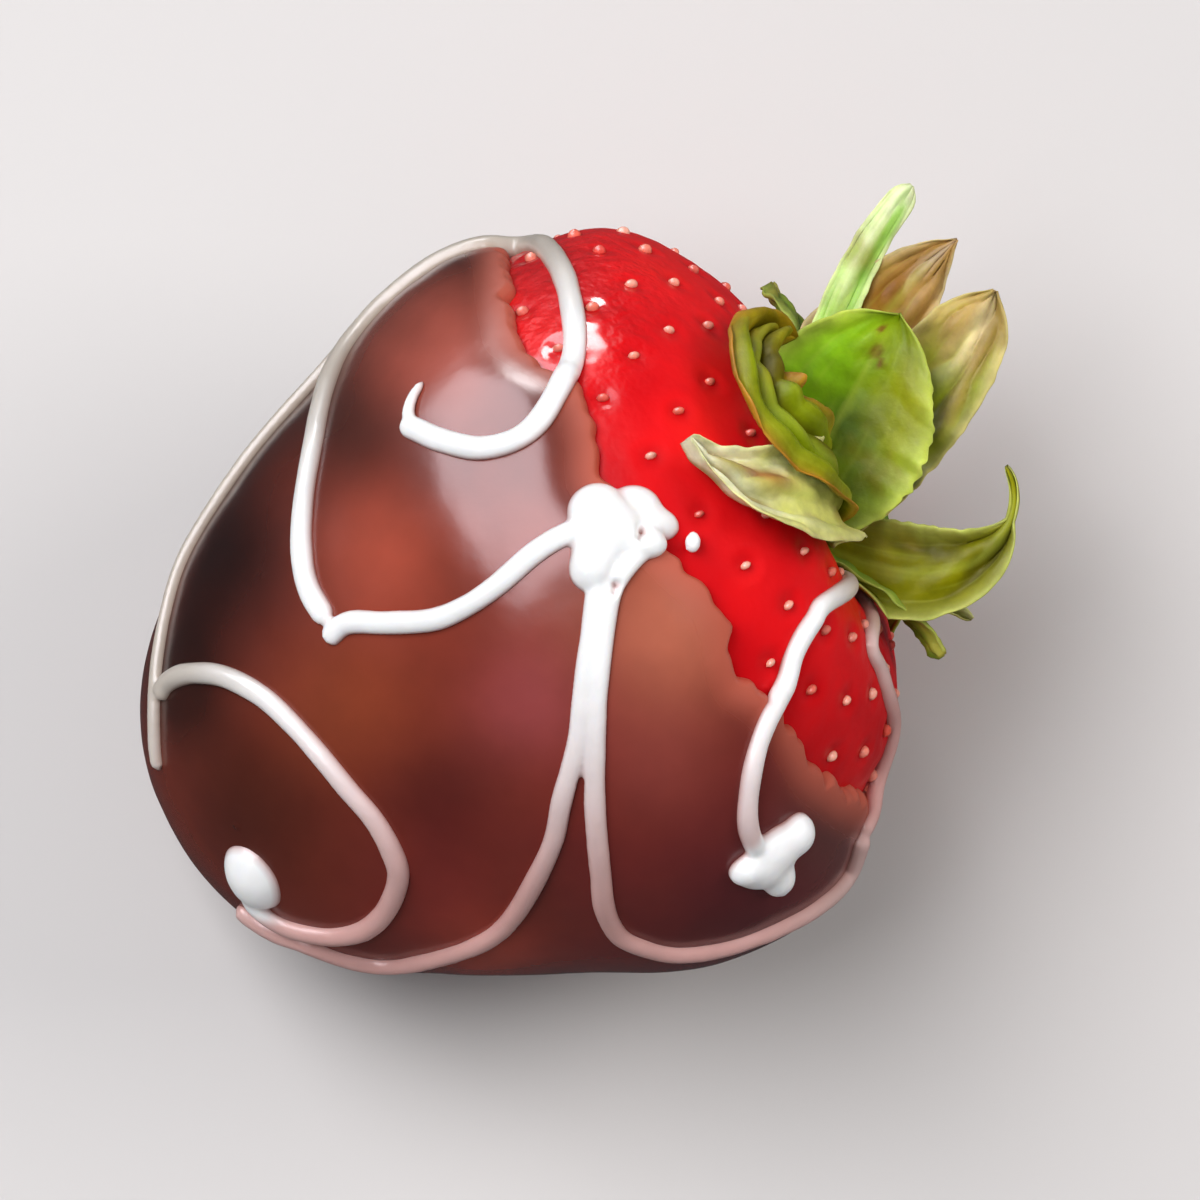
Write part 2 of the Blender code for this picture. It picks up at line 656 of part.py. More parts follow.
def lying_midrib(leaf, number):
    """Places along a leaf that bends over the shoulder, close above the skin."""
    places = []
    for row in range(LEAF_ROWS + 1):
        share = row / LEAF_ROWS
        angle = math.radians(bent(leaf["angle"], share))
        lift = bent(leaf["lift"], share) * MM + LEAF_STAGGER * number
        places.append(body_point(angle, math.radians(bent(leaf["turn"], share)), lift))
    stations = []
    for row, place in enumerate(places):
        forward = (places[min(row + 1, LEAF_ROWS)] - places[max(row - 1, 0)]).normalized()
        outward = place - CENTRE
        facing = (outward - forward * outward.dot(forward)).normalized()
        stations.append((place, forward, facing))
    return stations


def make_leaf(number, leaf, stations):
    """A thin wavy solid along a midrib, both faces split into the same triangles."""
    middle = []
    for row, (place, forward, facing) in enumerate(stations):
        share = row / LEAF_ROWS
        turned = Matrix.Rotation(math.radians(leaf["roll"]) * share, 3, forward) @ facing
        right = forward.cross(turned)
        half = leaf_outline(share, leaf["width"], leaf["point"])
        line = []
        for column in range(LEAF_COLUMNS + 1):
            side = 2 * column / LEAF_COLUMNS - 1
            spot = Vector((number * LEAF_WAVE_APART, share * LEAF_WAVES_ALONG, side * LEAF_WAVES_ACROSS))
            wave = noise.noise(spot) * LEAF_WAVE * share
            bow = leaf["cup"] * half * side * side
            point = place + right * (half * side) + turned * (bow + wave)
            line.append(lift_clear(point, LEAF_CLEAR + LEAF_STAGGER * number))
        middle.append(line)
    return thicken(f"leaf_{number}", middle)


def make_leaves():
    """Every leaf, the standing ones first; each lies a little further out than the last."""
    leaves = [(leaf, standing_midrib) for leaf in STANDING_LEAVES]
    leaves += [(leaf, lying_midrib) for leaf in LYING_LEAVES]
    return [make_leaf(number, leaf, midrib(leaf, number)) for number, (leaf, midrib) in enumerate(leaves)]


def lift_clear(point, clear):
    """Move a leaf point straight out where it would come too close to the fruit."""
    direction = point - CENTRE
    base = surface(direction, depth_in_coat(direction) > 0)
    least = (base - CENTRE).length + clear
    return point if direction.length > least else CENTRE + direction.normalized() * least


def thicken(name, middle):
    """Give a grid of points a wall on both sides, and close it round its border."""
    rows, columns = len(middle), len(middle[0])
    upper, lower = [], []
    for row in range(rows):
        for column in range(columns):
            ahead = middle[min(row + 1, rows - 1)][column] - middle[max(row - 1, 0)][column]
            aside = middle[row][min(column + 1, columns - 1)] - middle[row][max(column - 1, 0)]
            offset = aside.cross(ahead).normalized() * (LEAF_THICKNESS / 2)
            upper.append(middle[row][column] + offset)
            lower.append(middle[row][column] - offset)
    faces = []
    size = rows * columns
    for row in range(rows - 1):
        for column in range(columns - 1):
            corner = row * columns + column
            first = (corner, corner + 1, corner + columns + 1)
            second = (corner, corner + columns + 1, corner + columns)
            faces += [first, second]
            faces += [tuple(size + number for number in reversed(face)) for face in (first, second)]
    border = list(range(columns - 1))
    border += [row * columns + columns - 1 for row in range(rows - 1)]
    border += [(rows - 1) * columns + column for column in range(columns - 1, 0, -1)]
    border += [row * columns for row in range(rows - 1, 0, -1)]
    for step, start in enumerate(border):
        end = border[(step + 1) % len(border)]
        faces += [(end, start, size + start), (end, size + start, size + end)]
    return new_object(name, upper + lower, faces)


def make_stem():
    """The short cut stem and the disc that the leaves stand on."""
    across = AXIS.orthogonal().normalized()
    other = AXIS.cross(across)

    def ring(level, radius):
        middle = CENTRE + AXIS * level
        turns = [2 * math.pi * step / STEM_SIDES for step in range(STEM_SIDES)]
        return [middle + across * (radius * math.cos(t)) + other * (radius * math.sin(t)) for t in turns]

    low, high = DISC_LEVEL - DISC_THICKNESS / 2, DISC_LEVEL + DISC_THICKNESS / 2
    rings = [
        ring(low, DISC_RADIUS * DISC_UNDERSIDE),
        ring(DISC_LEVEL, DISC_RADIUS),
        ring(high, DISC_RADIUS * DISC_TOP),
        ring(high + STEM_FILLET, STEM_RADIUS),
        ring(high + STEM_LENGTH, STEM_RADIUS * STEM_END),
    ]
    return closed_rings("calyx", rings)


def fuse(base, pieces):
    """Join the pieces to the base by one Boolean union, and keep the one main body."""
    if pieces:
        group = bpy.data.collections.new("fused_pieces")
        bpy.context.scene.collection.children.link(group)
        for piece in pieces:
            bpy.context.scene.collection.objects.unlink(piece)
            group.objects.link(piece)
        union = base.modifiers.new("union", "BOOLEAN")
        union.operation = "UNION"
        union.operand_type = "COLLECTION"
        union.collection = group
        union.solver = "EXACT"
        bpy.context.view_layer.update()
        evaluated = base.evaluated_get(bpy.context.evaluated_depsgraph_get())
        joined = bpy.data.meshes.new_from_object(evaluated)
        base.modifiers.clear()
        base.data = joined
        for piece in pieces:
            bpy.data.objects.remove(piece)
        bpy.data.collections.remove(group)
    keep_main_body(base)


def keep_main_body(obj):
    """Drop loose scraps and the walls of sealed hollows: only the largest shell stays."""
    model = bmesh.new()
    model.from_mesh(obj.data)
    bmesh.ops.remove_doubles(model, verts=model.verts, dist=MERGE_DISTANCE)
    bmesh.ops.triangulate(model, faces=model.faces)
    unseen = set(model.faces)
    shells = []
    while unseen:
        queue = [unseen.pop()]
        shell = list(queue)
        while queue:
            for edge in queue.pop().edges:
                for face in edge.link_faces:
                    if face in unseen:
                        unseen.remove(face)
                        queue.append(face)
                        shell.append(face)
        shells.append(shell)
    shells.sort(key=len)
    for shell in shells[:-1]:
        bmesh.ops.delete(model, geom=shell, context="FACES")
    loose = [vert for vert in model.verts if not vert.link_faces]
    bmesh.ops.delete(model, geom=loose, context="VERTS")
    model.to_mesh(obj.data)
    model.free()


def finish(obj):
    """Smooth shading and the node's own plain material."""
    colour, roughness = COLOURS[obj.name]
    material = bpy.data.materials.new(obj.name)
    material.use_nodes = True
    shader = material.node_tree.nodes["Principled BSDF"]
    shader.inputs["Base Color"].default_value = colour
    shader.inputs["Roughness"].default_value = roughness
    shader.inputs["Metallic"].default_value = 0.0
    obj.data.materials.clear()
    obj.data.materials.append(material)
    obj.data.shade_smooth()
    obj.data.set_sharp_from_angle(angle=CREASE_ANGLE)


def main():
    for obj in list(bpy.data.objects):
        bpy.data.objects.remove(obj)
    piping, bare_directions = make_piping()
    berry = make_fruit()
    fuse(berry, make_seeds(bare_directions) + piping["bare"])
    coat = make_shell()
    fuse(coat, piping["coat"])
    calyx = make_stem()
    fuse(calyx, make_leaves())
    for obj in (berry, coat, calyx):
        finish(obj)


main()
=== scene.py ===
from math import cos, pi, radians, sin, sqrt

import bpy
import numpy as np
from mathutils import Matrix, Vector, noise


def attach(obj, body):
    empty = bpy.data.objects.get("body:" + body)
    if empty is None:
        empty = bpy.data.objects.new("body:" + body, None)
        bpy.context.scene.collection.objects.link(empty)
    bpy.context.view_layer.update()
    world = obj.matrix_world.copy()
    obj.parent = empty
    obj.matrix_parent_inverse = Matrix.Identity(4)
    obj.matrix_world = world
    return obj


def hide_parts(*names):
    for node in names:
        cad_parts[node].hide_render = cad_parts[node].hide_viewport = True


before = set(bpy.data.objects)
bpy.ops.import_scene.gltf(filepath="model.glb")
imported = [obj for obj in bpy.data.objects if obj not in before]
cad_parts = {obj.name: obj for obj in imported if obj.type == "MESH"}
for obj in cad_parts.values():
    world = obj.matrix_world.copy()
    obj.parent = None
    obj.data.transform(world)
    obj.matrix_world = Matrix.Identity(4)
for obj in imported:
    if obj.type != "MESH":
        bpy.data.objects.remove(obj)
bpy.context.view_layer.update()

# A strawberry dipped in dark chocolate, piped with white, lying on its side.
# All shapes below are worked out in millimetres and turned into metres when a mesh is made.
# A ray leaves the body's centre at an angle from the axis (0 at the leaves, 180 at the tip)
# and at a turn round it (0 on top, 90 to the right).

mm = 0.001

bodyShape = {
    "centre": (0.0, -2.0, 21.2),
    "axisTilt": 18,             # degrees, leaf end up
    "flatness": 0.93,
    "rays": ((0, 16.5), (10, 17.6), (22, 22.0), (35, 24.2), (50, 24.9), (67, 24.3), (85, 22.5), (106, 20.2),
             (128, 20.7), (147, 22.95), (165, 24.9), (180, 25.4)),
    "sideSwell": ((0, 0.0), (40, -0.030), (57, -0.058), (71, -0.004), (95, 0.022), (125, 0.032), (147, 0.048),
                  (165, 0.02), (180, 0.0)),
    "lobes": 3,
    "lobeShare": 0.012,
    "lobeStart": 0.8,
    "columns": 512,             # round the axis
    "redRows": 124,             # fine rows over the bare shoulder
    "redUntil": 80,             # degrees
    "hiddenRows": 26,           # coarse rows inside the chocolate
}

photoView = {
    "lean": 11,                 # degrees off straight down
    "turn": -27,
    "axisOnScreen": 24,         # degrees above the picture's right
    "distance": 0.8,            # metres
    "frameWidth": 78,           # mm across the picture at the berry
    "shiftRight": 4.0,          # mm from the body's centre to the picture's middle
    "shiftUp": 1.6,
}


def unit(vectors):
    return vectors / np.linalg.norm(vectors, axis=-1, keepdims=True)


def lengthOf(vectors):
    return np.linalg.norm(vectors, axis=-1)


def dot(a, b):
    return np.sum(a * b, axis=-1)


def smoothStep(low, high, value):
    t = np.clip((value - low) / (high - low), 0, 1)
    return t * t * (3 - 2 * t)


def smoothThrough(pairs, at):
    # level at both ends, smooth through every (position, value) pair
    xs, ys = np.array(pairs, float).T
    slopes = np.zeros(len(xs))
    slopes[1:-1] = (ys[2:] - ys[:-2]) / (xs[2:] - xs[:-2])
    k = np.clip(np.searchsorted(xs, at) - 1, 0, len(xs) - 2)
    span = xs[k + 1] - xs[k]
    t = np.clip((at - xs[k]) / span, 0, 1)
    ends = ys[k] * (1 + 2 * t) * (1 - t) ** 2 + ys[k + 1] * t * t * (3 - 2 * t)
    return ends + slopes[k] * span * t * (1 - t) ** 2 + slopes[k + 1] * span * t * t * (t - 1)


def fromScreen(red, green, blue):
    # a colour as the eye reads it on a screen, 0 to 255, as Blender's linear values
    shares = (red / 255, green / 255, blue / 255)
    return tuple(((c + 0.055) / 1.055) ** 2.4 if c > 0.04 else c / 12.92 for c in shares) + (1.0,)


tilt = radians(bodyShape["axisTilt"])
centre = np.array(bodyShape["centre"])
axis = np.array((0.0, cos(tilt), sin(tilt)))
rise = np.array((0.0, -sin(tilt), cos(tilt)))
side = np.array((1.0, 0.0, 0.0))

lean, viewTurn = radians(photoView["lean"]), radians(photoView["turn"])
planFacing = np.array((-sin(lean) * sin(viewTurn), -sin(lean) * cos(viewTurn), cos(lean)))
planAlong = unit(axis - np.dot(axis, planFacing) * planFacing)
planAcross = np.cross(planAlong, planFacing)
onScreen = radians(photoView["axisOnScreen"])
screenRight = planAlong * cos(onScreen) + planAcross * sin(onScreen)
screenUp = planAlong * sin(onScreen) - planAcross * cos(onScreen)


def rayOf(angle, turn):
    angle, turn = np.asarray(angle)[..., None], np.asarray(turn)[..., None]
    across = np.sin(turn) * side + np.cos(turn) * rise * bodyShape["flatness"]
    return np.cos(angle) * axis + np.sin(angle) * across


def rayLength(angle, turn):
    degrees = np.degrees(angle)
    wave = np.cos(bodyShape["lobes"] * turn + bodyShape["lobeStart"])
    lobes = bodyShape["lobeShare"] * wave * np.sin(angle) ** 2
    swell = smoothThrough(bodyShape["sideSwell"], degrees) * np.sin(turn)
    return smoothThrough(bodyShape["rays"], degrees) * (1 + lobes + swell)


def skinPoint(angle, turn, lift=0.0):
    ray = rayOf(angle, turn)
    return centre + ray * rayLength(angle, turn)[..., None] + unit(ray) * np.asarray(lift)[..., None]


def anglesOf(direction):
    sideways = dot(direction, side)
    upwards = dot(direction, rise) / bodyShape["flatness"]
    return np.arctan2(np.hypot(sideways, upwards), dot(direction, axis)), np.arctan2(sideways, upwards)


def addObject(name, data):
    obj = bpy.data.objects.new(name, data)
    bpy.context.scene.collection.objects.link(obj)
    return obj


def makeMesh(name, points, faces):
    # points in millimetres; faces are given in the order that makes their normals face out
    mesh = bpy.data.meshes.new(name)
    mesh.from_pydata((np.asarray(points) * mm).tolist(), [], faces)
    mesh.update()
    mesh.shade_smooth()
    return addObject(name, mesh)


def makeRings(name, rings, firstPoint=None, lastPoint=None):
    # a closed skin through rings of equal count, from the leaf end outwards and round
    count = len(rings[0])
    here = np.arange(count)
    after = np.roll(here, -1)
    points = np.concatenate(rings)
    last = len(points) - count
    faces = []
    for start in range(0, last, count):
        faces += (start + np.stack((after, here, here + count, after + count), axis=1)).tolist()
    ends = (here, after, firstPoint, here), (last + after, last + here, lastPoint, last + here[::-1])
    for starts, stops, point, whole in ends:
        if point is None:
            faces.append(whole.tolist())
        else:
            faces += [(s, e, len(points)) for s, e in zip(starts.tolist(), stops.tolist())]
            points = np.vstack((points, point))
    return makeMesh(name, points, faces)


def setAttribute(mesh, name, kind, values, domain="POINT"):
    layer = mesh.attributes.new(name, kind, domain)
    key = {"FLOAT": "value", "FLOAT_VECTOR": "vector", "FLOAT_COLOR": "color"}[kind]
    layer.data.foreach_set(key, np.asarray(values, np.float32).ravel())


class Nodes:
    # adds nodes to one tree; an input takes a plain value, a screen colour or another node's output
    def __init__(self, tree):
        self.tree = tree

    def put(self, socket, value):
        if isinstance(value, bpy.types.NodeSocket):
            self.tree.links.new(value, socket)
        elif socket.type == "RGBA" and len(value) == 3:
            socket.default_value = fromScreen(*value)
        else:
            socket.default_value = value

    def add(self, kind, values=None, **settings):
        node = self.tree.nodes.new(kind)
        for key, value in settings.items():
            setattr(node, key, value)
        for key, value in (values or {}).items():
            self.put(node.inputs[key], value)
        return node

    def math(self, operation, first, second=0.5):
        return self.add("ShaderNodeMath", {0: first, 1: second}, operation=operation).outputs[0]

    def scaled(self, vector, share):
        return self.add("ShaderNodeVectorMath", {0: vector, "Scale": share}, operation="SCALE").outputs[0]

    # for shapes
    def named(self, name, kind="FLOAT"):
        node = self.add("GeometryNodeInputNamedAttribute", {"Name": name}, data_type=kind)
        return node.outputs["Attribute"]

    def store(self, geometry, name, value, domain="POINT"):
        values = {"Geometry": geometry, "Name": name, "Value": value}
        node = self.add("GeometryNodeStoreNamedAttribute", values, data_type="FLOAT", domain=domain)
        return node.outputs[0]

    def waves(self, size, height, detail):
        # soft noise of about plus and minus the height
        position = self.add("GeometryNodeInputPosition").outputs["Position"]
        spot = self.add("ShaderNodeVectorMath", {0: position, 1: size}, operation="DIVIDE").outputs[0]
        values = {"Vector": spot, "Scale": 1.0, "Detail": detail}
        texture = self.add("ShaderNodeTexNoise", values).outputs["Fac"]
        return self.math("MULTIPLY", self.math("MULTIPLY", self.math("SUBTRACT", texture, 0.5), 2.0), height)

    def pushOut(self, geometry, amount):
        normal = self.add("GeometryNodeInputNormal").outputs["Normal"]
        values = {"Geometry": geometry, "Offset": self.scaled(normal, amount)}
        return self.add("GeometryNodeSetPosition", values).outputs["Geometry"]

    # for looks
    def attribute(self, name, output="Fac"):
        node = self.add("ShaderNodeAttribute", attribute_name=name, attribute_type="GEOMETRY")
        return node.outputs[output]

    def noise(self, scale, detail=3.0):
        values = {"Vector": self.place, "Scale": scale, "Detail": detail, "Roughness": 0.55}
        return self.add("ShaderNodeTexNoise", values).outputs["Fac"]

    def between(self, value, fromLow, fromHigh, toLow, toHigh, smooth=False):
        values = {"Value": value, "From Min": fromLow, "From Max": fromHigh,
                  "To Min": toLow, "To Max": toHigh}
        kind = "SMOOTHSTEP" if smooth else "LINEAR"
        return self.add("ShaderNodeMapRange", values, interpolation_type=kind).outputs["Result"]

    def grain(self, scale, low, high, detail=3.0):
        return self.between(self.noise(scale, detail), 0.3, 0.7, low, high)

    def mix(self, share, first, second):
        return self.add("ShaderNodeMix", {0: share, 6: first, 7: second}, data_type="RGBA").outputs[2]

    def ramp(self, value, stops):
        # stops are (position, screen colour)
        node = self.add("ShaderNodeValToRGB", {"Fac": value})
        band = node.color_ramp.elements
        while len(band) < len(stops):
            band.new(0.5)
        for element, (position, colour) in zip(band, stops):
            element.position = position
            element.color = fromScreen(*colour)
        return node.outputs["Color"]

    def give(self, **sources):
        # names of the shader's inputs, written without spaces
        for name, source in sources.items():
            self.put(self.shader.inputs["".join(" " + c if c.isupper() else c for c in name).strip()], source)

    def bumps(self, *layers):
        # layers are (height, mm), the coarsest first
        normal = {}
        for height, depth in layers:
            values = {"Height": height, "Distance": depth * mm, "Strength": 1.0, **normal}
            node = self.add("ShaderNodeBump", values)
            normal = {"Normal": node.outputs["Normal"]}
        self.give(**normal)


def newLook(name, values):
    material = bpy.data.materials.new(name)
    material.use_nodes = True
    nodes = Nodes(material.node_tree)
    nodes.shader = nodes.tree.nodes["Principled BSDF"]
    nodes.place = nodes.add("ShaderNodeTexCoord").outputs["Object"]
    for key, value in values.items():
        nodes.put(nodes.shader.inputs[key], value)
    return material, nodes


def newTree(name, inputs):
    # inputs are numbers, or None for an object
    tree = bpy.data.node_groups.new(name, "GeometryNodeTree")
    kinds = {"NoneType": "Object", "int": "Int", "float": "Float"}
    tree.interface.new_socket("Geometry", in_out="INPUT", socket_type="NodeSocketGeometry")
    for label, value in inputs.items():
        kind = "NodeSocket" + kinds[type(value).__name__]
        socket = tree.interface.new_socket(label, in_out="INPUT", socket_type=kind)
        if value is not None:
            socket.default_value = value
    tree.interface.new_socket("Material", in_out="INPUT", socket_type="NodeSocketMaterial")
    tree.interface.new_socket("Geometry", in_out="OUTPUT", socket_type="NodeSocketGeometry")
    nodes = Nodes(tree)
    return nodes, nodes.add("NodeGroupInput").outputs


def closeTree(nodes, given, geometry):
    # every tree ends in real geometry with its material
    real = nodes.add("GeometryNodeRealizeInstances", {"Geometry": geometry}).outputs["Geometry"]
    painted = nodes.add("GeometryNodeSetMaterial", {"Geometry": real, "Material": given["Material"]})
    nodes.add("NodeGroupOutput", {"Geometry": painted.outputs["Geometry"]})
    return nodes.tree


def settled(source, name, material, finishers=()):
    # what the object's modifiers give, as a plain mesh of its own; finishers are (kind, settings) of more
    for kind, settings in finishers:
        finisher = source.modifiers.new(kind.title(), kind)
        for key, value in settings.items():
            setattr(finisher, key, value)
    bpy.context.view_layer.update()
    evaluated = source.evaluated_get(bpy.context.evaluated_depsgraph_get())
    mesh = bpy.data.meshes.new_from_object(evaluated)
    mesh.name = name
    source.modifiers.clear()
    bpy.data.objects.remove(source)
    mesh.materials.clear()
    mesh.materials.append(material)
    mesh.shade_smooth()
    return addObject(name, mesh)


def applyTree(source, tree, values, name, finishers=()):
    modifier = source.modifiers.new(tree.name, "NODES")
    modifier.node_group = tree
    for item in tree.interface.items_tree:
        if item.item_type == "SOCKET" and item.in_out == "INPUT" and item.name in values:
            modifier[item.identifier] = values[item.name]
    return settled(source, name, values["Material"], finishers)


def together(pieces, name):
    # several pieces as one mesh
    points, faces, start = [], [], 0
    for piece in pieces:
        points.append(pointsOf(piece))
        faces += [[start + corner for corner in face.vertices] for face in piece.data.polygons]
        start += len(points[-1])
        bpy.data.objects.remove(piece)
    return makeMesh(name, np.concatenate(points), faces)


def inMetres(lengths):
    return {name: length * mm for name, length in lengths.items()}


def pointsOf(piece):
    place = np.empty(len(piece.data.vertices) * 3)
    piece.data.vertices.foreach_get("co", place)
    return place.reshape(-1, 3) / mm

# the chocolate's edge and thickness, shared by the coat and by what is piped over it
coatShape = {
    "edgeLevel": 12.0,          # mm along the axis from the body's centre
    "edgeSlope": 0.19,
    # how far the edge strays from that, mm, by the turn round the axis in degrees
    "edgeWander": ((-180, 0.3), (-152, -0.3), (-118, 0.4), (-83, 0.0), (-66, 0.5), (-46, -0.5), (-39, -0.6),
                   (-28, 1.1), (-20, 0.6), (-12, -0.7), (-4, -0.3), (6, 0.4), (14, 0.8), (27, -0.9),
                   (34, -0.4), (42, -0.35), (53, -0.95), (66, -0.9), (84, -0.6), (98, -0.7), (130, 0.3),
                   (155, -0.2), (180, 0.3)),
    "edgeJags": ((23, 0.13, 0.4), (37, 0.15, 1.9), (53, 0.11, 4.0), (71, 0.07, 2.6), (97, 0.04, 0.3)),
    "inner": -0.12,             # the wall's inside bites a little into the fruit
    "gap": 0.36,                # how far its outside's zero stands off the fruit's skin
    "thickness": 1.6,
    # depth below the edge, share of the thickness
    "rim": ((0.0, 0.42), (0.4, 0.5), (2.0, 0.78), (4.5, 1.0)),
    "lipLength": 0.7,
    "lipSteps": 9,
    "footThickness": 1.1,
    "footSpread": 30,           # degrees
    "innerRows": 22,
    "outerRows": 128,
    "lumps": {"Lump Height": 0.13, "Lump Size": 8.0, "Ripple Height": 0.012, "Ripple Size": 2.0,
              "Flat Below": 1.0},
}


def edgeLevelAt(turn, sideOffset, jagged=True):
    waves = smoothThrough(coatShape["edgeWander"], np.degrees((turn + pi) % (2 * pi) - pi))
    jags = sum(size * np.sin(count * turn + start) for count, size, start in coatShape["edgeJags"]) * jagged
    return coatShape["edgeLevel"] + coatShape["edgeSlope"] * sideOffset + waves + jags


def coatDepth(direction, jagged=True):
    # mm below the chocolate's edge, negative on the bare shoulder
    angle, turn = anglesOf(direction)
    offset = rayOf(angle, turn) * rayLength(angle, turn)[..., None]
    return edgeLevelAt(turn, dot(offset, side), jagged) - dot(offset, axis)


def edgeAngle(turn):
    low, high = np.full_like(turn, radians(25)), np.full_like(turn, radians(110))
    for _ in range(34):
        middle = (low + high) / 2
        bare = coatDepth(rayOf(middle, turn)) < 0
        low, high = np.where(bare, middle, low), np.where(bare, high, middle)
    return (low + high) / 2


def coatLift(direction):
    down = np.arccos(np.clip(-unit(direction)[..., 2], -1, 1))
    foot = coatShape["footThickness"] * np.exp(-(down / radians(coatShape["footSpread"])) ** 2)
    share = smoothThrough(coatShape["rim"], coatDepth(direction, False))
    return coatShape["gap"] + coatShape["thickness"] * share + foot


def footAt(direction):
    # the skin or the chocolate, whichever is on top, with the step between them softened
    angle, turn = anglesOf(direction)
    share = smoothStep(-0.6, 0.6, coatDepth(direction))
    return skinPoint(angle, turn, coatLift(direction) * share)


def normalAt(direction, spread=0.02):
    first = unit(np.cross(direction, axis + 0.013 * side)) * spread
    second = unit(np.cross(direction, first)) * spread
    here = footAt(direction)
    normal = unit(np.cross(footAt(direction + first) - here, footAt(direction + second) - here))
    return np.where(dot(normal, direction)[..., None] > 0, normal, -normal)


# seeds: evenly spread by the golden angle, each in its own shallow pit
seedShape = {
    "countWhole": 450,          # on the whole fruit, were it bare
    "length": 0.95,
    "width": 0.52,
    "height": 0.40,
    "sunk": 0.11,               # how far its foot lies under the smooth skin
    "from": 12,                 # degrees from the axis, under the leaves
    "toEdge": 0.3,              # mm that they keep from the chocolate
    "spread": {"Size Spread": 0.14, "Tilt Spread": 0.10, "Random Seed": 7},
    "sides": 8,
    "levels": ((-0.35, 0.75), (0.0, 1.0), (0.55, 0.82), (0.9, 0.42)),
    "pits": {"Pit Depth": 0.20, "Pit Radius": 0.8, "Swell": 0.03, "Unevenness": 0.10},
    "tones": ((0.0, (228, 96, 76)), (0.35, (238, 150, 128)), (0.7, (240, 178, 156)), (1.0, (222, 64, 54))),
}


def seedPlaces():
    index = np.arange(seedShape["countWhole"])
    angle = np.arccos(1 - 2 * (index + 0.5) / seedShape["countWhole"])
    turn = index * pi * (3 - sqrt(5))
    ray = rayOf(angle, turn)
    kept = (angle > radians(seedShape["from"])) & (coatDepth(ray) < -seedShape["toEdge"])
    angle, turn, ray = angle[kept], turn[kept], ray[kept]
    point = skinPoint(angle, turn)
    step = 0.02
    toTip = unit(skinPoint(angle + step, turn) - skinPoint(angle - step, turn))
    round_ = unit(skinPoint(angle, turn + step) - skinPoint(angle, turn - step))
    out = unit(np.cross(toTip, round_))
    out = np.where(dot(out, ray)[..., None] > 0, out, -out)
    return point, out, toTip


def pitTree():
    nodes, given = newTree("Seed Pits", {"Seed Points": None, **inMetres(seedShape["pits"])})
    seeds = nodes.add("GeometryNodeObjectInfo", {"Object": given["Seed Points"]}, transform_space="RELATIVE")
    near = nodes.add("GeometryNodeProximity", {0: seeds.outputs["Geometry"]}, target_element="POINTS")
    away = nodes.math("DIVIDE", near.outputs["Distance"], given["Pit Radius"])
    falloff = nodes.math("EXPONENT", nodes.math("MULTIPLY", nodes.math("POWER", away, 2.4), -1.0))
    pit = nodes.math("MULTIPLY", falloff, nodes.math("MULTIPLY", given["Pit Depth"], -1.0))
    fromRing = nodes.math("POWER", nodes.math("ABSOLUTE", nodes.math("SUBTRACT", away, 1.75)), 2.0)
    ring = nodes.math("EXPONENT", nodes.math("MULTIPLY", fromRing, -3.0))
    texture = nodes.add("ShaderNodeTexNoise", {"Scale": 320.0, "Detail": 2.0}).outputs["Fac"]
    rough = nodes.math("MULTIPLY", nodes.math("SUBTRACT", texture, 0.5), given["Unevenness"])
    total = nodes.math("ADD", nodes.math("ADD", pit, nodes.math("MULTIPLY", ring, given["Swell"])), rough)
    return closeTree(nodes, given, nodes.pushOut(nodes.store(given["Geometry"], "pit", falloff), total))


def seedTree():
    nodes, given = newTree("Seeds On Points", {"Seed": None, **seedShape["spread"]})
    shape = nodes.add("GeometryNodeObjectInfo", {"Object": given["Seed"]}, transform_space="RELATIVE")
    upright = nodes.add("FunctionNodeAxesToRotation", {
        "Primary Axis": nodes.named("outwards", "FLOAT_VECTOR"),
        "Secondary Axis": nodes.named("toTip", "FLOAT_VECTOR"),
    }, primary_axis="Z", secondary_axis="X")
    least, most = (nodes.scaled((sign, sign, 2 * sign), given["Tilt Spread"]) for sign in (-1.0, 1.0))
    tiltBy = nodes.add("FunctionNodeRandomValue", {"Min": least, "Max": most, "Seed": given["Random Seed"]},
                       data_type="FLOAT_VECTOR")
    turned = nodes.add("FunctionNodeRotateRotation", {
        "Rotation": upright.outputs["Rotation"], "Rotate By": tiltBy.outputs[0]}, rotation_space="LOCAL")
    smallest, largest = (nodes.math(way, 1.0, given["Size Spread"]) for way in ("SUBTRACT", "ADD"))
    size = nodes.add("FunctionNodeRandomValue", {2: smallest, 3: largest, "Seed": given["Random Seed"]},
                     data_type="FLOAT")
    placed = nodes.add("GeometryNodeInstanceOnPoints", {
        "Points": given["Geometry"], "Instance": shape.outputs["Geometry"],
        "Rotation": turned.outputs["Rotation"], "Scale": size.outputs[1]})
    toneSeed = nodes.math("ADD", given["Random Seed"], 3)
    tone = nodes.add("FunctionNodeRandomValue", {"Seed": toneSeed}, data_type="FLOAT")
    toned = nodes.store(placed.outputs["Instances"], "tone", tone.outputs[1], "INSTANCE")
    return closeTree(nodes, given, toned)


redSkinLook = {
    "shader": {"Subsurface Weight": 0.25, "Subsurface Radius": (1.0, 0.06, 0.05),
               "Subsurface Scale": 1.6 * mm, "Specular IOR Level": 0.12, "Coat Roughness": 0.1},
    "tones": ((0.3, (190, 8, 18)), (0.55, (226, 18, 24)), (0.85, (232, 34, 24))),
    "pitShade": (186, 10, 18),
    # the colour of the painted shade in the middle of each seed's pit
    "roughness": (0.34, 0.46),
    "wetSpot": (-18.0, 9.7),                    # across and along in plan, where it is wettest
    "wetRadius": 5.4,
}


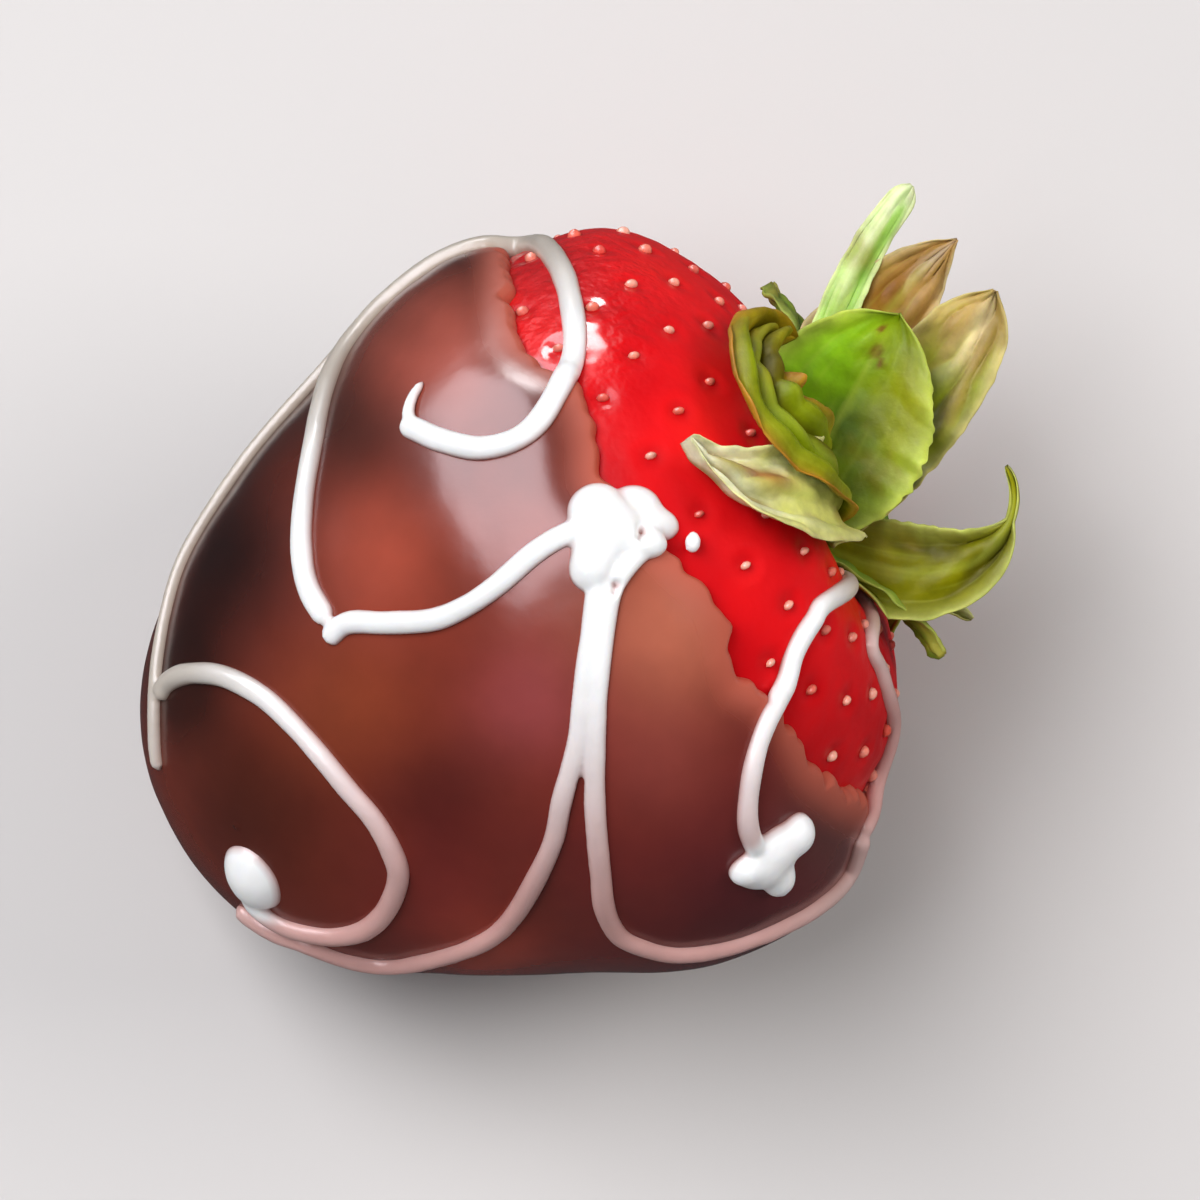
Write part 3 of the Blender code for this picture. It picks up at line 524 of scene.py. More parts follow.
def makeRedSkin():
    material, nodes = newLook("berry skin, red and wet", redSkinLook["shader"])
    # painted shade: the red darkens towards the middle of each seed's pit
    shade = nodes.between(nodes.attribute("pit"), 0.0, 1.0, 0.0, 0.55, smooth=True)
    red = nodes.ramp(nodes.noise(95.0, 2.0), redSkinLook["tones"])
    wet = nodes.attribute("wet")
    nodes.give(BaseColor=nodes.mix(shade, red, redSkinLook["pitShade"]),
               Roughness=nodes.grain(400.0, *redSkinLook["roughness"]),
               CoatWeight=nodes.between(wet, 0.0, 1.0, 0.06, 1.0))
    soft = nodes.math("MULTIPLY", nodes.noise(760.0, 2.5), nodes.between(wet, 0.0, 0.5, 0.12, 1.0))
    nodes.bumps((soft, 0.42), (nodes.noise(1500.0, 2.0), 0.02))
    return material


def makeSeedLook():
    material, nodes = newLook("seed, pale straw", {
        "Roughness": 0.35, "Subsurface Weight": 0.15, "Subsurface Scale": 0.5 * mm, "Coat Weight": 0.3})
    tone = nodes.ramp(nodes.attribute("tone"), seedShape["tones"])
    nodes.give(BaseColor=nodes.scaled(tone, nodes.grain(1800.0, 0.75, 1.1)))
    nodes.bumps((nodes.noise(3000.0), 0.02))
    return material


def planSpots(piece):
    # each point's offset from the centre, and its place in plan
    offset = pointsOf(piece) - centre
    return offset, np.stack((offset @ planAcross, offset @ planAlong), axis=1)


def makeBerry():
    turn = np.linspace(0, 2 * pi, bodyShape["columns"], endpoint=False)
    redUntil = radians(bodyShape["redUntil"])
    angles = np.concatenate((np.linspace(0, redUntil, bodyShape["redRows"] + 1),
                             np.linspace(redUntil, pi, bodyShape["hiddenRows"] + 1)[1:]))
    rings = [skinPoint(np.full_like(turn, angle), turn) for angle in angles[1:-1]]
    poles = [skinPoint(np.array(angle), np.array(0.0)) for angle in (0.0, pi)]
    body = makeRings("fruitBody", rings, *poles)
    point, out, toTip = seedPlaces()
    pitPoints = makeMesh("pitPoints", point, [])
    skin = applyTree(body, pitTree(), {
        "Seed Points": pitPoints, **inMetres(seedShape["pits"]), "Material": makeRedSkin()}, "redFruit")
    bpy.data.objects.remove(pitPoints)
    offset, inPlan = planSpots(skin)
    far = lengthOf(inPlan - redSkinLook["wetSpot"]) / redSkinLook["wetRadius"]
    setAttribute(skin.data, "wet", "FLOAT", np.exp(-far ** 2.5) * (offset @ planFacing > 0))

    # one seed, pointed towards the leaves
    around = np.linspace(0, 2 * pi, seedShape["sides"], endpoint=False)[::-1]
    length = seedShape["length"] / 2 * (1 - 0.22 * (np.cos(around) < -0.5)) * np.cos(around)
    across = seedShape["width"] / 2 * (1 + 0.16 * np.cos(around)) * np.sin(around)
    rings = [np.stack((length * share, across * share,
                       np.full_like(around, level * seedShape["height"])), axis=1)
             for level, share in seedShape["levels"]]
    oneSeed = makeRings("oneSeed", rings, None, np.array((0.0, 0.0, seedShape["height"])))
    seedPoints = makeMesh("seedPoints", point - out * seedShape["sunk"], [])
    setAttribute(seedPoints.data, "outwards", "FLOAT_VECTOR", out)
    setAttribute(seedPoints.data, "toTip", "FLOAT_VECTOR", toTip)
    seeds = applyTree(seedPoints, seedTree(), {
        "Seed": oneSeed, **seedShape["spread"], "Material": makeSeedLook()}, "berrySeeds")
    bpy.data.objects.remove(oneSeed)
    print("berry and", len(point), "seeds made")
    return skin, seeds


chocolateLook = {
    "shader": {"Specular IOR Level": 0.5, "Coat Weight": 0.05, "Coat Roughness": 0.2,
               "Subsurface Weight": 0.06, "Subsurface Radius": (1.0, 0.3, 0.15),
               "Subsurface Scale": 0.6 * mm},
    # painted shade: a darker brown on the flank at minus X, turned from the light, and a cooler, winy brown
    # on the other
    "tones": ((0.10, (70, 30, 22)), (0.42, (122, 48, 34)), (0.62, (122, 48, 34)), (0.92, (112, 40, 36))),
    "thin": (196, 96, 74),                      # where the rim lets the red through
    "thinUntil": 3.2,
    "roughness": (0.21, 0.26),
    # painted light and shade: lighter, darker and warmer patches where light, shade and reflections fall on
    # the side facing the camera: across, along, radius in plan, colour, share
    "patches": (
        (-18.8, 1.3, 4.4, (176, 84, 68), 0.85),
        (-22.8, -0.9, 3.4, (84, 46, 38), 0.7),
        (-16.8, -5.5, 3.6, (66, 34, 28), 0.8),
        (-8.3, -7.3, 4.0, (172, 76, 56), 0.85),
        (-12.5, -16.8, 6.6, (30, 12, 10), 0.95),
        (-6.2, -23.6, 4.6, (36, 15, 11), 0.9),
        (-0.5, -13.1, 4.4, (142, 64, 38), 0.75),
        (3.4, -21.6, 6.2, (70, 30, 20), 0.9),
        (7.3, -9.9, 3.8, (84, 30, 26), 0.8),
        (4.3, -2.3, 3.8, (160, 74, 76), 0.65),
        (13.5, -12.4, 4.4, (112, 36, 32), 0.75),
        (18.4, -11.9, 3.4, (176, 70, 50), 0.85),
        (3.5, 7.8, 5.0, (186, 104, 80), 0.85),
        (10.9, 3.5, 4.2, (136, 62, 54), 0.7),
        (22.0, 5.2, 5.6, (92, 34, 38), 0.85),
        (19.8, 12.2, 4.0, (92, 58, 54), 0.7),
    ),
}


def lumpTree():
    nodes, given = newTree("Soft Lumps", inMetres(coatShape["lumps"]))
    lumps, ripples = (nodes.waves(given[kind + " Size"], given[kind + " Height"], 1.5)
                      for kind in ("Lump", "Ripple"))
    position = nodes.add("GeometryNodeInputPosition").outputs["Position"]
    level = nodes.add("ShaderNodeSeparateXYZ", {0: position}).outputs["Z"]
    levelShare = nodes.math("DIVIDE", level, given["Flat Below"])
    kept = nodes.add("ShaderNodeClamp", {"Value": levelShare}).outputs[0]
    amount = nodes.math("MULTIPLY", nodes.math("ADD", lumps, ripples), kept)
    return closeTree(nodes, given, nodes.pushOut(given["Geometry"], amount))


def makeChocolateLook():
    look = chocolateLook
    material, nodes = newLook("dark chocolate, set", look["shader"])
    # painted shade: the brown darkens across the coat towards minus X
    sideways = nodes.add("ShaderNodeSeparateXYZ", {0: nodes.place}).outputs["X"]
    across = nodes.math("ADD", sideways, nodes.grain(60.0, -7.0 * mm, 7.0 * mm))
    flankShade = nodes.ramp(nodes.between(across, -25.0 * mm, 25.0 * mm, 0.0, 1.0), look["tones"])
    # painted light and shade from the patches, laid over the base brown
    patched = nodes.mix(nodes.attribute("paintedLightShare"), flankShade, nodes.attribute("paintedLightColour", "Color"))
    mottled = nodes.scaled(patched, nodes.grain(150.0, 0.88, 1.12, 4.0))
    depth = nodes.attribute("edgeDepth")
    thin = nodes.between(depth, 0.0, look["thinUntil"], 0.8, 0.0, smooth=True)
    rimRough = nodes.between(depth, 0.6, 3.0, 0.26, 0.0, smooth=True)
    nodes.give(BaseColor=nodes.mix(thin, mottled, look["thin"]),
               Roughness=nodes.math("ADD", nodes.grain(130.0, *look["roughness"], 4.0), rimRough))
    # a few tiny bumps where crumbs of chocolate set on it
    specks = nodes.add("ShaderNodeTexVoronoi", {"Vector": nodes.place, "Scale": 210.0, "Randomness": 1.0})
    bead = nodes.between(specks.outputs["Distance"], 0.0, 0.13, 1.0, 0.0, smooth=True)
    rare = nodes.between(nodes.noise(120.0, 1.0), 0.67, 0.72, 0.0, 1.0, smooth=True)
    nodes.bumps((nodes.math("MULTIPLY", bead, rare), 0.22), (nodes.noise(300.0, 2.0), 0.035),
                (nodes.noise(2200.0, 2.0), 0.006))
    return material


def makeCoat():
    turn = np.linspace(0, 2 * pi, bodyShape["columns"], endpoint=False)
    edge = edgeAngle(turn)
    radius = rayLength(edge, turn)
    inner, lip = coatShape["inner"], coatShape["lipLength"]
    rings = []
    for share in np.arange(coatShape["innerRows"] - 1, -1, -1) / coatShape["innerRows"]:
        rings.append(skinPoint(edge + (pi - edge) * share, turn, inner))
    for share in np.arange(1, coatShape["lipSteps"] + 1) / coatShape["lipSteps"]:
        bend = pi / 2 * share
        angle = edge + lip * (1 - cos(bend)) / radius
        rings.append(skinPoint(angle, turn, inner + (coatLift(rayOf(angle, turn)) - inner) * sin(bend)))
    lipEnd = edge + lip / radius
    for share in np.arange(1, coatShape["outerRows"]) / coatShape["outerRows"]:
        angle = lipEnd + (pi - lipEnd) * share
        rings.append(skinPoint(angle, turn, coatLift(rayOf(angle, turn))))
    tip = np.array(pi), np.array(0.0)
    for ring in rings:
        ring[:, 2] = np.maximum(ring[:, 2], 0.0)    # the flat it rests on
    body = makeRings("coatBody", rings, skinPoint(*tip, inner), skinPoint(*tip, float(coatLift(-axis))))
    coat = applyTree(body, lumpTree(), {**inMetres(coatShape["lumps"]), "Material": makeChocolateLook()},
                     "chocolateShell")
    offset, inPlan = planSpots(coat)
    setAttribute(coat.data, "edgeDepth", "FLOAT", np.maximum(coatDepth(offset, False), 0.0))
    # the patches of painted light and shade are laid only on the side that faces the camera
    facing = smoothStep(-0.1, 0.3, unit(offset) @ planFacing)
    colour, share = np.zeros((len(offset), 3)), np.zeros(len(offset))
    for across, along, reach, tone, strength in chocolateLook["patches"]:
        far = lengthOf(inPlan - (across, along)) / reach
        weight = strength * np.exp(-far ** 2.2) * facing
        colour += weight[:, None] * np.array(fromScreen(*tone)[:3])
        share += weight
    setAttribute(coat.data, "paintedLightColour", "FLOAT_VECTOR", colour / np.maximum(share, 0.001)[:, None])
    setAttribute(coat.data, "paintedLightShare", "FLOAT", np.clip(share, 0, 0.95))
    print("chocolate coat made")
    return coat


# white piping, drawn on a plan seen from the photograph's side: (across, along) in mm
piping = {
    "radii": {"topLoop": 0.80, "crossLine": 0.76, "leftStrand": 0.68, "rightStrand": 0.70,
              "rightHook": 0.72, "edgeLine": 0.58, "leftLoop": 0.74, "flankLine": 0.50,
              "loopPeak": 0.52, "flankWave": 0.6, "tipWave": 0.6},
    "tapers": {"loopPeak": 0.5},       # the share of its radius that a strand ends with
    "fullRadius": 0.85,         # a strand thinner than this is lifted by half of what it lacks
    "centreLift": 0.04,
    "spacing": 0.4,
    "tube": {"Unevenness": 0.10, "Wave Length": 3.2 * mm, "Sides": 14},
    # voxel size and smoothing passes
    "melt": (0.174, 4),
    "blobMelt": (0.2, 22),
    "blobGrowth": 0.22,         # mm, what the smoothing takes off again
    "lines": {
        "topLoop": (
            (-15.1, -2.6), (-14.4, -1.9), (-13.1, -0.7), (-11.6, 1.4), (-11.3, 4.2), (-12.6, 6.7),
            (-14.7, 9.1), (-17.8, 10.3), (-20.7, 10.6), (-22.9, 9.4), (-24.0, 7.0), (-24.5, 4.6),
            (-24.3, 2.3), (-23.1, -1.2), (-21.0, -4.4), (-18.2, -7.1), (-16.1, -8.5), (-13.0, -10.5),
            (-10.5, -11.7), (-8.1, -12.3), (-5.5, -12.0),
        ),
        "crossLine": (
            (-4.5, -12.7), (-5.0, -10.9), (-4.0, -8.6), (-3.0, -5.9), (-2.9, -3.7), (-3.3, -1.3),
            (-4.2, 1.7), (-4.5, 3.8), (-4.4, 5.9),
        ),
        "leftStrand": (
            (-2.9, 6.3), (-0.7, 4.5), (2.2, 2.7), (4.8, 1.1), (7.7, -0.6), (10.7, -3.0), (12.8, -4.5),
            (14.6, -6.5), (16.3, -8.9), (17.0, -10.8), (17.0, -13.7), (16.2, -17.5), (14.6, -20.1),
            (12.7, -22.0), (10.9, -23.9), (8.9, -25.8),
        ),
        "rightStrand": (
            (-1.9, 9.2), (-1.3, 7.2), (0.0, 5.2), (2.5, 3.5), (5.2, 1.9), (8.2, 0.4), (11.5, -1.1),
            (13.9, -2.0), (16.3, -2.8), (18.2, -3.4), (20.1, -3.3), (21.5, -2.2), (22.6, -0.8), (23.3, 0.8),
            (23.8, 2.8), (24.0, 4.9), (24.0, 7.1), (23.8, 9.1), (23.4, 10.7), (22.8, 11.9), (20.8, 13.5),
        ),
        "rightHook": (
            (5.0, 19.9), (6.1, 17.8), (6.9, 16.0), (8.1, 14.3), (9.8, 12.6), (11.4, 10.9), (13.3, 9.1),
            (15.5, 7.7), (17.2, 7.0), (18.9, 6.9),
        ),
        "edgeLine": (
            (5.1, 20.0), (7.0, 19.7), (9.5, 19.0), (11.6, 18.8), (13.4, 18.6), (15.2, 18.2), (17.5, 16.7),
            (19.1, 15.1), (20.8, 13.5),
        ),
        "leftLoop": (
            (-5.6, -24.2), (-6.3, -23.1), (-6.2, -21.6), (-5.1, -19.6), (-2.9, -17.8), (-0.4, -16.7),
            (2.1, -15.9), (4.7, -15.2), (7.0, -14.5), (9.2, -14.3), (11.0, -14.6), (12.6, -16.1),
            (13.3, -17.9), (13.0, -19.9), (12.0, -21.7), (10.7, -23.1), (8.9, -24.0), (7.2, -23.6),
        ),
        "loopPeak": (
            (-14.7, -2.1), (-15.5, -1.9), (-16.3, -1.3), (-17.1, -0.2),
        ),
        "flankLine": (
            (-22.9, -2.4), (-20.8, -5.4), (-18.7, -11.0), (-16.5, -15.2), (-13.5, -18.7), (-10.5, -21.4),
            (-7.7, -23.3), (-4.6, -24.9), (-1.3, -26.1),
        ),
    },
    # on the sides that the plan doesn't reach: (turn from the leaves, fall from the plan's facing), degrees
    "sideLines": {
        "flankWave": ((-156, 104), (-142, 111), (-126, 112), (-111, 106), (-96, 103), (-84, 106)),
        "tipWave": ((178, 103), (166, 109), (150, 112), (132, 110), (116, 104), (104, 103)),
    },
    "blobHeight": 1.35,
    # small dents: across, along, radius, depth
    "dents": ((-2.62, 8.37, 0.38, 1.0), (-2.3, 8.0, 0.3, 0.8), (-0.3, 5.5, 0.3, 0.7), (0.1, 5.2, 0.26, 0.5)),
    # where the nozzle paused: across, along, half length, half width, turn in degrees
    "blobs": (
        (-3.6, 6.5, 2.5, 2.2, 16), (-5.1, 6.4, 1.9, 1.75, 16), (-4.1, 8.7, 1.7, 1.6, -24),
        (-2.8, 9.3, 1.75, 1.0, -19), (-2.1, 4.8, 1.7, 1.35, 51), (-0.8, 10.9, 0.65, 0.4, 56),
        (-1.9, 8.3, 1.3, 0.9, -24), (18.9, 9.5, 1.45, 1.35, -24), (19.4, 7.8, 2.1, 1.95, 6),
        (19.9, 6.9, 2.0, 1.8, -40), (19.5, 5.9, 1.15, 0.95, -4), (20.9, 7.5, 1.3, 1.0, -94),
        (7.4, -23.5, 2.75, 2.2, 45),
    ),
}


def planDirection(points):
    points = np.atleast_2d(np.array(points, float))
    reach = np.hypot(points[:, 0], points[:, 1])
    heading = unit(points[:, :1] * planAcross + points[:, 1:] * planAlong)
    low, high = np.zeros(len(points)), np.full(len(points), radians(86))
    for _ in range(34):
        middle = (low + high) / 2
        direction = np.cos(middle)[:, None] * planFacing + np.sin(middle)[:, None] * heading
        inside = dot(footAt(direction) - centre, heading) < reach
        low, high = np.where(inside, middle, low), np.where(inside, high, middle)
    return direction


def turnedDirection(points):
    turn, fall = np.radians(np.array(points, float)).T[..., None]
    heading = planAlong * np.cos(turn) + planAcross * np.sin(turn)
    return planFacing * np.cos(fall) + heading * np.sin(fall)


def smoothPath(knots, steps=16):
    padded = np.vstack((knots[0] * 2 - knots[1], knots, knots[-1] * 2 - knots[-2]))
    path = []
    for before, start, end, after in zip(padded, padded[1:], padded[2:], padded[3:]):
        for t in np.arange(steps) / steps:
            path.append(start + ((end - before) * t + (before * 2 - start * 5 + end * 4 - after) * t * t
                                 + (start * 3 - before - end * 3 + after) * t ** 3) / 2)
    path.append(knots[-1])
    return unit(np.array(path))


def evenly(points, spacing):
    travelled = np.concatenate(([0.0], np.cumsum(lengthOf(np.diff(points, axis=0)))))
    count = max(3, int(travelled[-1] / spacing))
    stops = np.linspace(0, travelled[-1], count + 1)
    return np.stack([np.interp(stops, travelled, points[:, k]) for k in range(3)], axis=1), stops


def roundedRadii(stops, radius, taper=1.0):
    # full radius along the strand, falling as a half circle at both ends
    inset = np.minimum(np.minimum(stops, stops[-1] - stops) / radius, 1.0)
    narrowed = radius * (1 - (1 - taper) * stops / stops[-1])
    return narrowed * np.sqrt(np.clip(1 - (1 - inset) ** 2, 0.03, 1))


def evened(values):
    # each value averaged with its neighbours along the strand
    kernel = np.hanning(11)[1:-1] / np.hanning(11)[1:-1].sum()
    return np.convolve(np.pad(values, 4, "edge"), kernel, "valid")


def bridged(path):
    # a soft strand doesn't follow a step down: it hangs a little over it
    reach = lengthOf(path - centre)
    taut = reach
    for _ in range(4):
        taut = np.maximum(reach, evened(taut))
    return centre + unit(path - centre) * evened(taut)[:, None]


def strandFrom(directions, radius, taper):
    path, stops = evenly(footAt(directions), piping["spacing"])
    path = bridged(path)
    normal = unit(np.stack([evened(part) for part in normalAt(path - centre).T], axis=1))
    lift = (piping["centreLift"] + piping["fullRadius"] - radius) * 0.5
    return path + normal * lift, roundedRadii(stops, radius, taper)


def blobFrom(across, along, halfLength, halfWidth, turn):
    direction = planDirection((across, along))[0]
    normal = normalAt(direction[None])[0]
    heading = np.array(Matrix.Rotation(radians(turn), 3, Vector(planFacing)) @ Vector(planAlong))
    heading = unit(heading - normal * np.dot(heading, normal))
    halfLength, halfWidth = halfLength + piping["blobGrowth"], halfWidth + piping["blobGrowth"]
    share = np.linspace(-1, 1, 17)
    radii = halfWidth * np.sqrt(np.clip(1 - share ** 2, 0.02, 1))
    middle = footAt(direction[None])[0] + normal * (piping["blobHeight"] - halfWidth)
    return middle + heading * (share * halfLength)[:, None], radii


def pipingTree():
    nodes, given = newTree("Piped Strands", piping["tube"])
    curve = nodes.add("GeometryNodeMeshToCurve", {"Mesh": given["Geometry"]}).outputs["Curve"]
    varied = nodes.math("ADD", 1.0, nodes.waves(given["Wave Length"], given["Unevenness"], 1.0))
    radius = nodes.math("MULTIPLY", nodes.named("strandRadius"), varied)
    sized = nodes.add("GeometryNodeSetCurveRadius", {"Curve": curve, "Radius": radius}).outputs["Curve"]
    section = nodes.add("GeometryNodeCurvePrimitiveCircle", {"Radius": 1.0, "Resolution": given["Sides"]})
    sweep = nodes.add("GeometryNodeCurveToMesh", {
        "Curve": sized, "Profile Curve": section.outputs["Curve"], "Fill Caps": True})
    if "Scale" in sweep.inputs:
        nodes.put(sweep.inputs["Scale"], nodes.add("GeometryNodeInputRadius").outputs["Radius"])
    return closeTree(nodes, given, sweep.outputs["Mesh"])


def makeWhiteLook():
    material, nodes = newLook("white piping, set", {
        "Subsurface Weight": 0.25, "Subsurface Radius": (1.0, 0.8, 0.6), "Subsurface Scale": 0.5 * mm,
        "Coat Weight": 0.2, "Coat Roughness": 0.2})
    tints = ((0.0, (150, 96, 86)), (0.20, (214, 196, 194)), (0.55, (246, 248, 248)))
    tint = nodes.ramp(nodes.attribute("proud"), tints)
    # painted shade: pinkish towards the picture's bottom and right, with a painted reflection of the red in
    # it, and greyer on the sides seen edge-on
    withWarmShade = nodes.mix(nodes.attribute("paintedWarmShade"), tint, (206, 160, 154))
    paintedGreyShade = nodes.mix(nodes.attribute("paintedGreyShade"), withWarmShade, (176, 164, 148))
    nodes.give(BaseColor=nodes.scaled(paintedGreyShade, nodes.grain(240.0, 0.93, 1.03)),
               Roughness=nodes.grain(500.0, 0.30, 0.42))
    nodes.bumps((nodes.noise(700.0, 2.0), 0.05), (nodes.noise(3000.0, 2.0), 0.01))
    return material


def sweptFrom(runs, tree, material, name, finishers=()):
    # tubes along (points, radii) runs
    edges, start = [], 0
    for run, _ in runs:
        edges += [(start + k, start + k + 1) for k in range(len(run) - 1)]
        start += len(run)
    mesh = bpy.data.meshes.new("strandPaths")
    mesh.from_pydata((np.concatenate([run for run, _ in runs]) * mm).tolist(), edges, [])
    setAttribute(mesh, "strandRadius", "FLOAT", np.concatenate([radii for _, radii in runs]) * mm)
    values = {**piping["tube"], "Material": material}
    return applyTree(addObject("strandPaths", mesh), tree, values, name, finishers)


def melted(voxel, iterations):
    return (("REMESH", {"mode": "VOXEL", "voxel_size": voxel * mm, "adaptivity": 0.0,
                        "use_smooth_shade": True}),
            ("SMOOTH", {"factor": 0.5, "iterations": iterations}))


def makePiping():
    knots = {name: planDirection(line) for name, line in piping["lines"].items()}
    knots.update({name: turnedDirection(line) for name, line in piping["sideLines"].items()})
    runs = [strandFrom(smoothPath(line), piping["radii"][name], piping["tapers"].get(name, 1.0))
            for name, line in knots.items()]
    blobRuns = [blobFrom(*blob) for blob in piping["blobs"]]
    material, tree = makeWhiteLook(), pipingTree()
    strands = sweptFrom(runs, tree, material, "strands")
    blobs = sweptFrom(blobRuns, tree, material, "blobs", melted(*piping["blobMelt"]))
    drizzle = settled(together((strands, blobs), "rawPiping"), "whitePiping", material,
                      melted(*piping["melt"]))

    place = pointsOf(drizzle)
    offset = place - centre
    for across, along, radius, depth in piping["dents"]:
        inward = planDirection((across, along))[0]
        far = lengthOf(np.cross(offset, inward)) / radius
        offset -= inward * (depth * np.exp(-far ** 2) * (offset @ inward > 0))[:, None]
    drizzle.data.vertices.foreach_set("co", ((offset + centre) * mm).ravel())
    drizzle.data.update()
    heading = unit(offset)
    height = lengthOf(offset) - lengthOf(footAt(offset) - centre)
    thick = np.zeros(len(place))
    for points, _ in blobRuns:
        reach = np.linalg.norm(points[0] - points[-1]) / 2 + 0.3
        far = lengthOf(place - points.mean(axis=0)) / reach
        thick = np.maximum(thick, smoothStep(1.3, 0.95, far))
    # painted shade on the piping: pinkish towards the picture's bottom and right, with a painted reflection
    # of the red and the chocolate in it, and grey where its sides turn edge-on; the blobs stay white
    paintedWarmShade = smoothStep(0.05, 0.85, -heading @ screenUp) + smoothStep(0.75, 1.0, heading @ screenRight)
    paintedWarmShade = np.clip(paintedWarmShade, 0, 1)
    fall = smoothStep(0.70, 1.0, lengthOf(np.cross(heading, planFacing)))
    setAttribute(drizzle.data, "proud", "FLOAT", np.clip(height, 0, 1))
    setAttribute(drizzle.data, "paintedWarmShade", "FLOAT", paintedWarmShade * (1 - thick))
    setAttribute(drizzle.data, "paintedGreyShade", "FLOAT", 0.85 * fall * (1 - thick) * (1 - paintedWarmShade))
    print("white piping made,", len(runs) + len(blobRuns), "strands and blobs")
    return drizzle


# leaves; lengths in mm, angles in degrees
leafShape = {
    "discLevel": 18.7,          # along the axis from the body's centre
    "thickness": 0.34,
    "clear": 1.0,               # least height over the skin or the chocolate
    "stagger": 0.06,            # how much higher each leaf lies than the one before
    "wave": 0.7,
    "foot": 0.12,               # share of the outline that is left off where it grows
    "blunt": 0.55,              # the lower, the fuller the outline
    "leastHalf": 0.45,          # half the width at its narrowest
    "threadHalf": 0.26,         # the same for a leaf that ends in a dried thread
    "rows": 64,
    "columns": 30,
    "veins": 9,
    "veinHeight": 0.06,
    "ruffle": 0.26,             # share of the half width
    "ragged": 0.065,            # the same, along the rim
    "spot": (112, 62, 24),      # screen colour
}
# what a leaf has where it says nothing else; the tip's run is the rounded share of its length
plainLeaf = {"length": 15, "thread": 0, "tipRun": 0.07, "tipLeast": 0.08, "hollows": 0.85,
             "patches": (), "spots": ()}
hiddenLeaf = {"roll": 0, "cup": 0.1, "point": 0.6, "folds": (3, 0.25, 0.3)}

# start is across and up from the disc's middle; heading and climb are at the foot, middle and tip;
# folds are how many, how deep and how crumpled; tones are of the base, the tip, the rim, paler partly by its
# own colour and partly as a painted highlight, and the painted shade in the hollows; patches and spots are
# (along, across, spread) as shares of the leaf, patches with a colour
standingLeaves = (
    {"start": (-0.2, 2.6), "heading": (42, 38, 34), "climb": (0, 4, 14), "length": 14.2, "width": 12.6,
     "roll": 0, "cup": 0.36, "point": 0.0, "folds": (2, 0.10, 0.22),
     "tones": ((112, 136, 6), (132, 150, 14), (200, 214, 96), (56, 90, 2)), "hollows": 0.3,
     # the cup's patches are partly its own tones and partly painted light and shade: the bright green one is
     # painted light, the darkest ones painted shade in the hollow of the cup
     "patches": ((0.60, -0.55, 0.34, (136, 192, 14)), (0.42, 0.10, 0.24, (52, 86, 2)),
                 (0.62, 0.75, 0.26, (152, 156, 14)), (0.10, -0.1, 0.2, (128, 134, 8)),
                 (0.34, -0.9, 0.12, (44, 92, 8))),
     "spots": ((0.80, 0.00, 0.045), (0.90, -0.16, 0.03), (0.76, 0.14, 0.03))},
    {"start": (-1.0, 1.1), "heading": (59, 46, 27), "climb": (-10, -6, -2), "length": 22.0, "width": 2.6,
     "tipRun": 0.05, "tipLeast": 0.4, "roll": 10, "cup": 0.25, "point": -0.9, "folds": (1, 0.14, 0.14),
     "tones": ((176, 214, 104), (226, 234, 186), (216, 232, 160), (132, 186, 52))},
    {"start": (-0.4, 0.0), "heading": (48, 37, 13), "climb": (-12, -6, 4), "length": 20.6, "width": 8.6,
     "roll": 4, "cup": 0.25, "point": 0.5, "folds": (1, 0.22, 0.6),
     "tones": ((140, 112, 12), (170, 132, 70), (206, 188, 140), (120, 74, 12)), "hollows": 0.6,
     "patches": ((0.72, -0.3, 0.14, (122, 74, 16)), (0.92, 0.0, 0.10, (176, 156, 128)))},
    {"start": (0.6, 0.2), "heading": (16, 25, 37), "climb": (-8, 0, 6), "length": 19.4, "width": 7.3,
     "tipRun": 0.16, "tipLeast": 0.42, "roll": -6, "cup": 0.4, "point": -0.5, "folds": (1, 0.16, 0.7),
     "tones": ((142, 160, 8), (190, 158, 88), (206, 192, 124), (122, 98, 16)), "hollows": 0.5,
     # the pale patch near the tip is a painted highlight
     "patches": ((0.88, 0.1, 0.16, (232, 212, 160)),)},
    {"start": (2.4, 0.8), "heading": (-50, -12, 95), "climb": (10, 4, 4), "length": 18.0, "width": 6.4,
     "thread": 0.2, "roll": -8, "cup": 0.3, "point": 0.3, "folds": (2, 0.3, 0.3),
     "tones": ((124, 124, 2), (140, 140, 8), (196, 204, 110), (78, 74, 2))},
    {"start": (1.6, -0.6), "heading": (-50, -50, -66), "climb": (-6, -10, -12), "length": 12.2,
     "width": 3.4, "roll": -30, "cup": 0.2, "point": 0.6, "folds": (1, 0.2, 0.3),
     "tones": ((144, 152, 40), (206, 206, 136), (194, 194, 104), (110, 110, 20))},
    {"start": (0.0, -1.6), "heading": (8, 20, 40), "climb": (-62, -50, -36), "length": 12.5, "width": 7.0,
     "roll": 0, "cup": -0.2, "point": 0.5, "folds": (3, 0.3, 0.3),
     "tones": ((96, 132, 30), (140, 140, 52), (160, 170, 80), (70, 100, 18))},
)
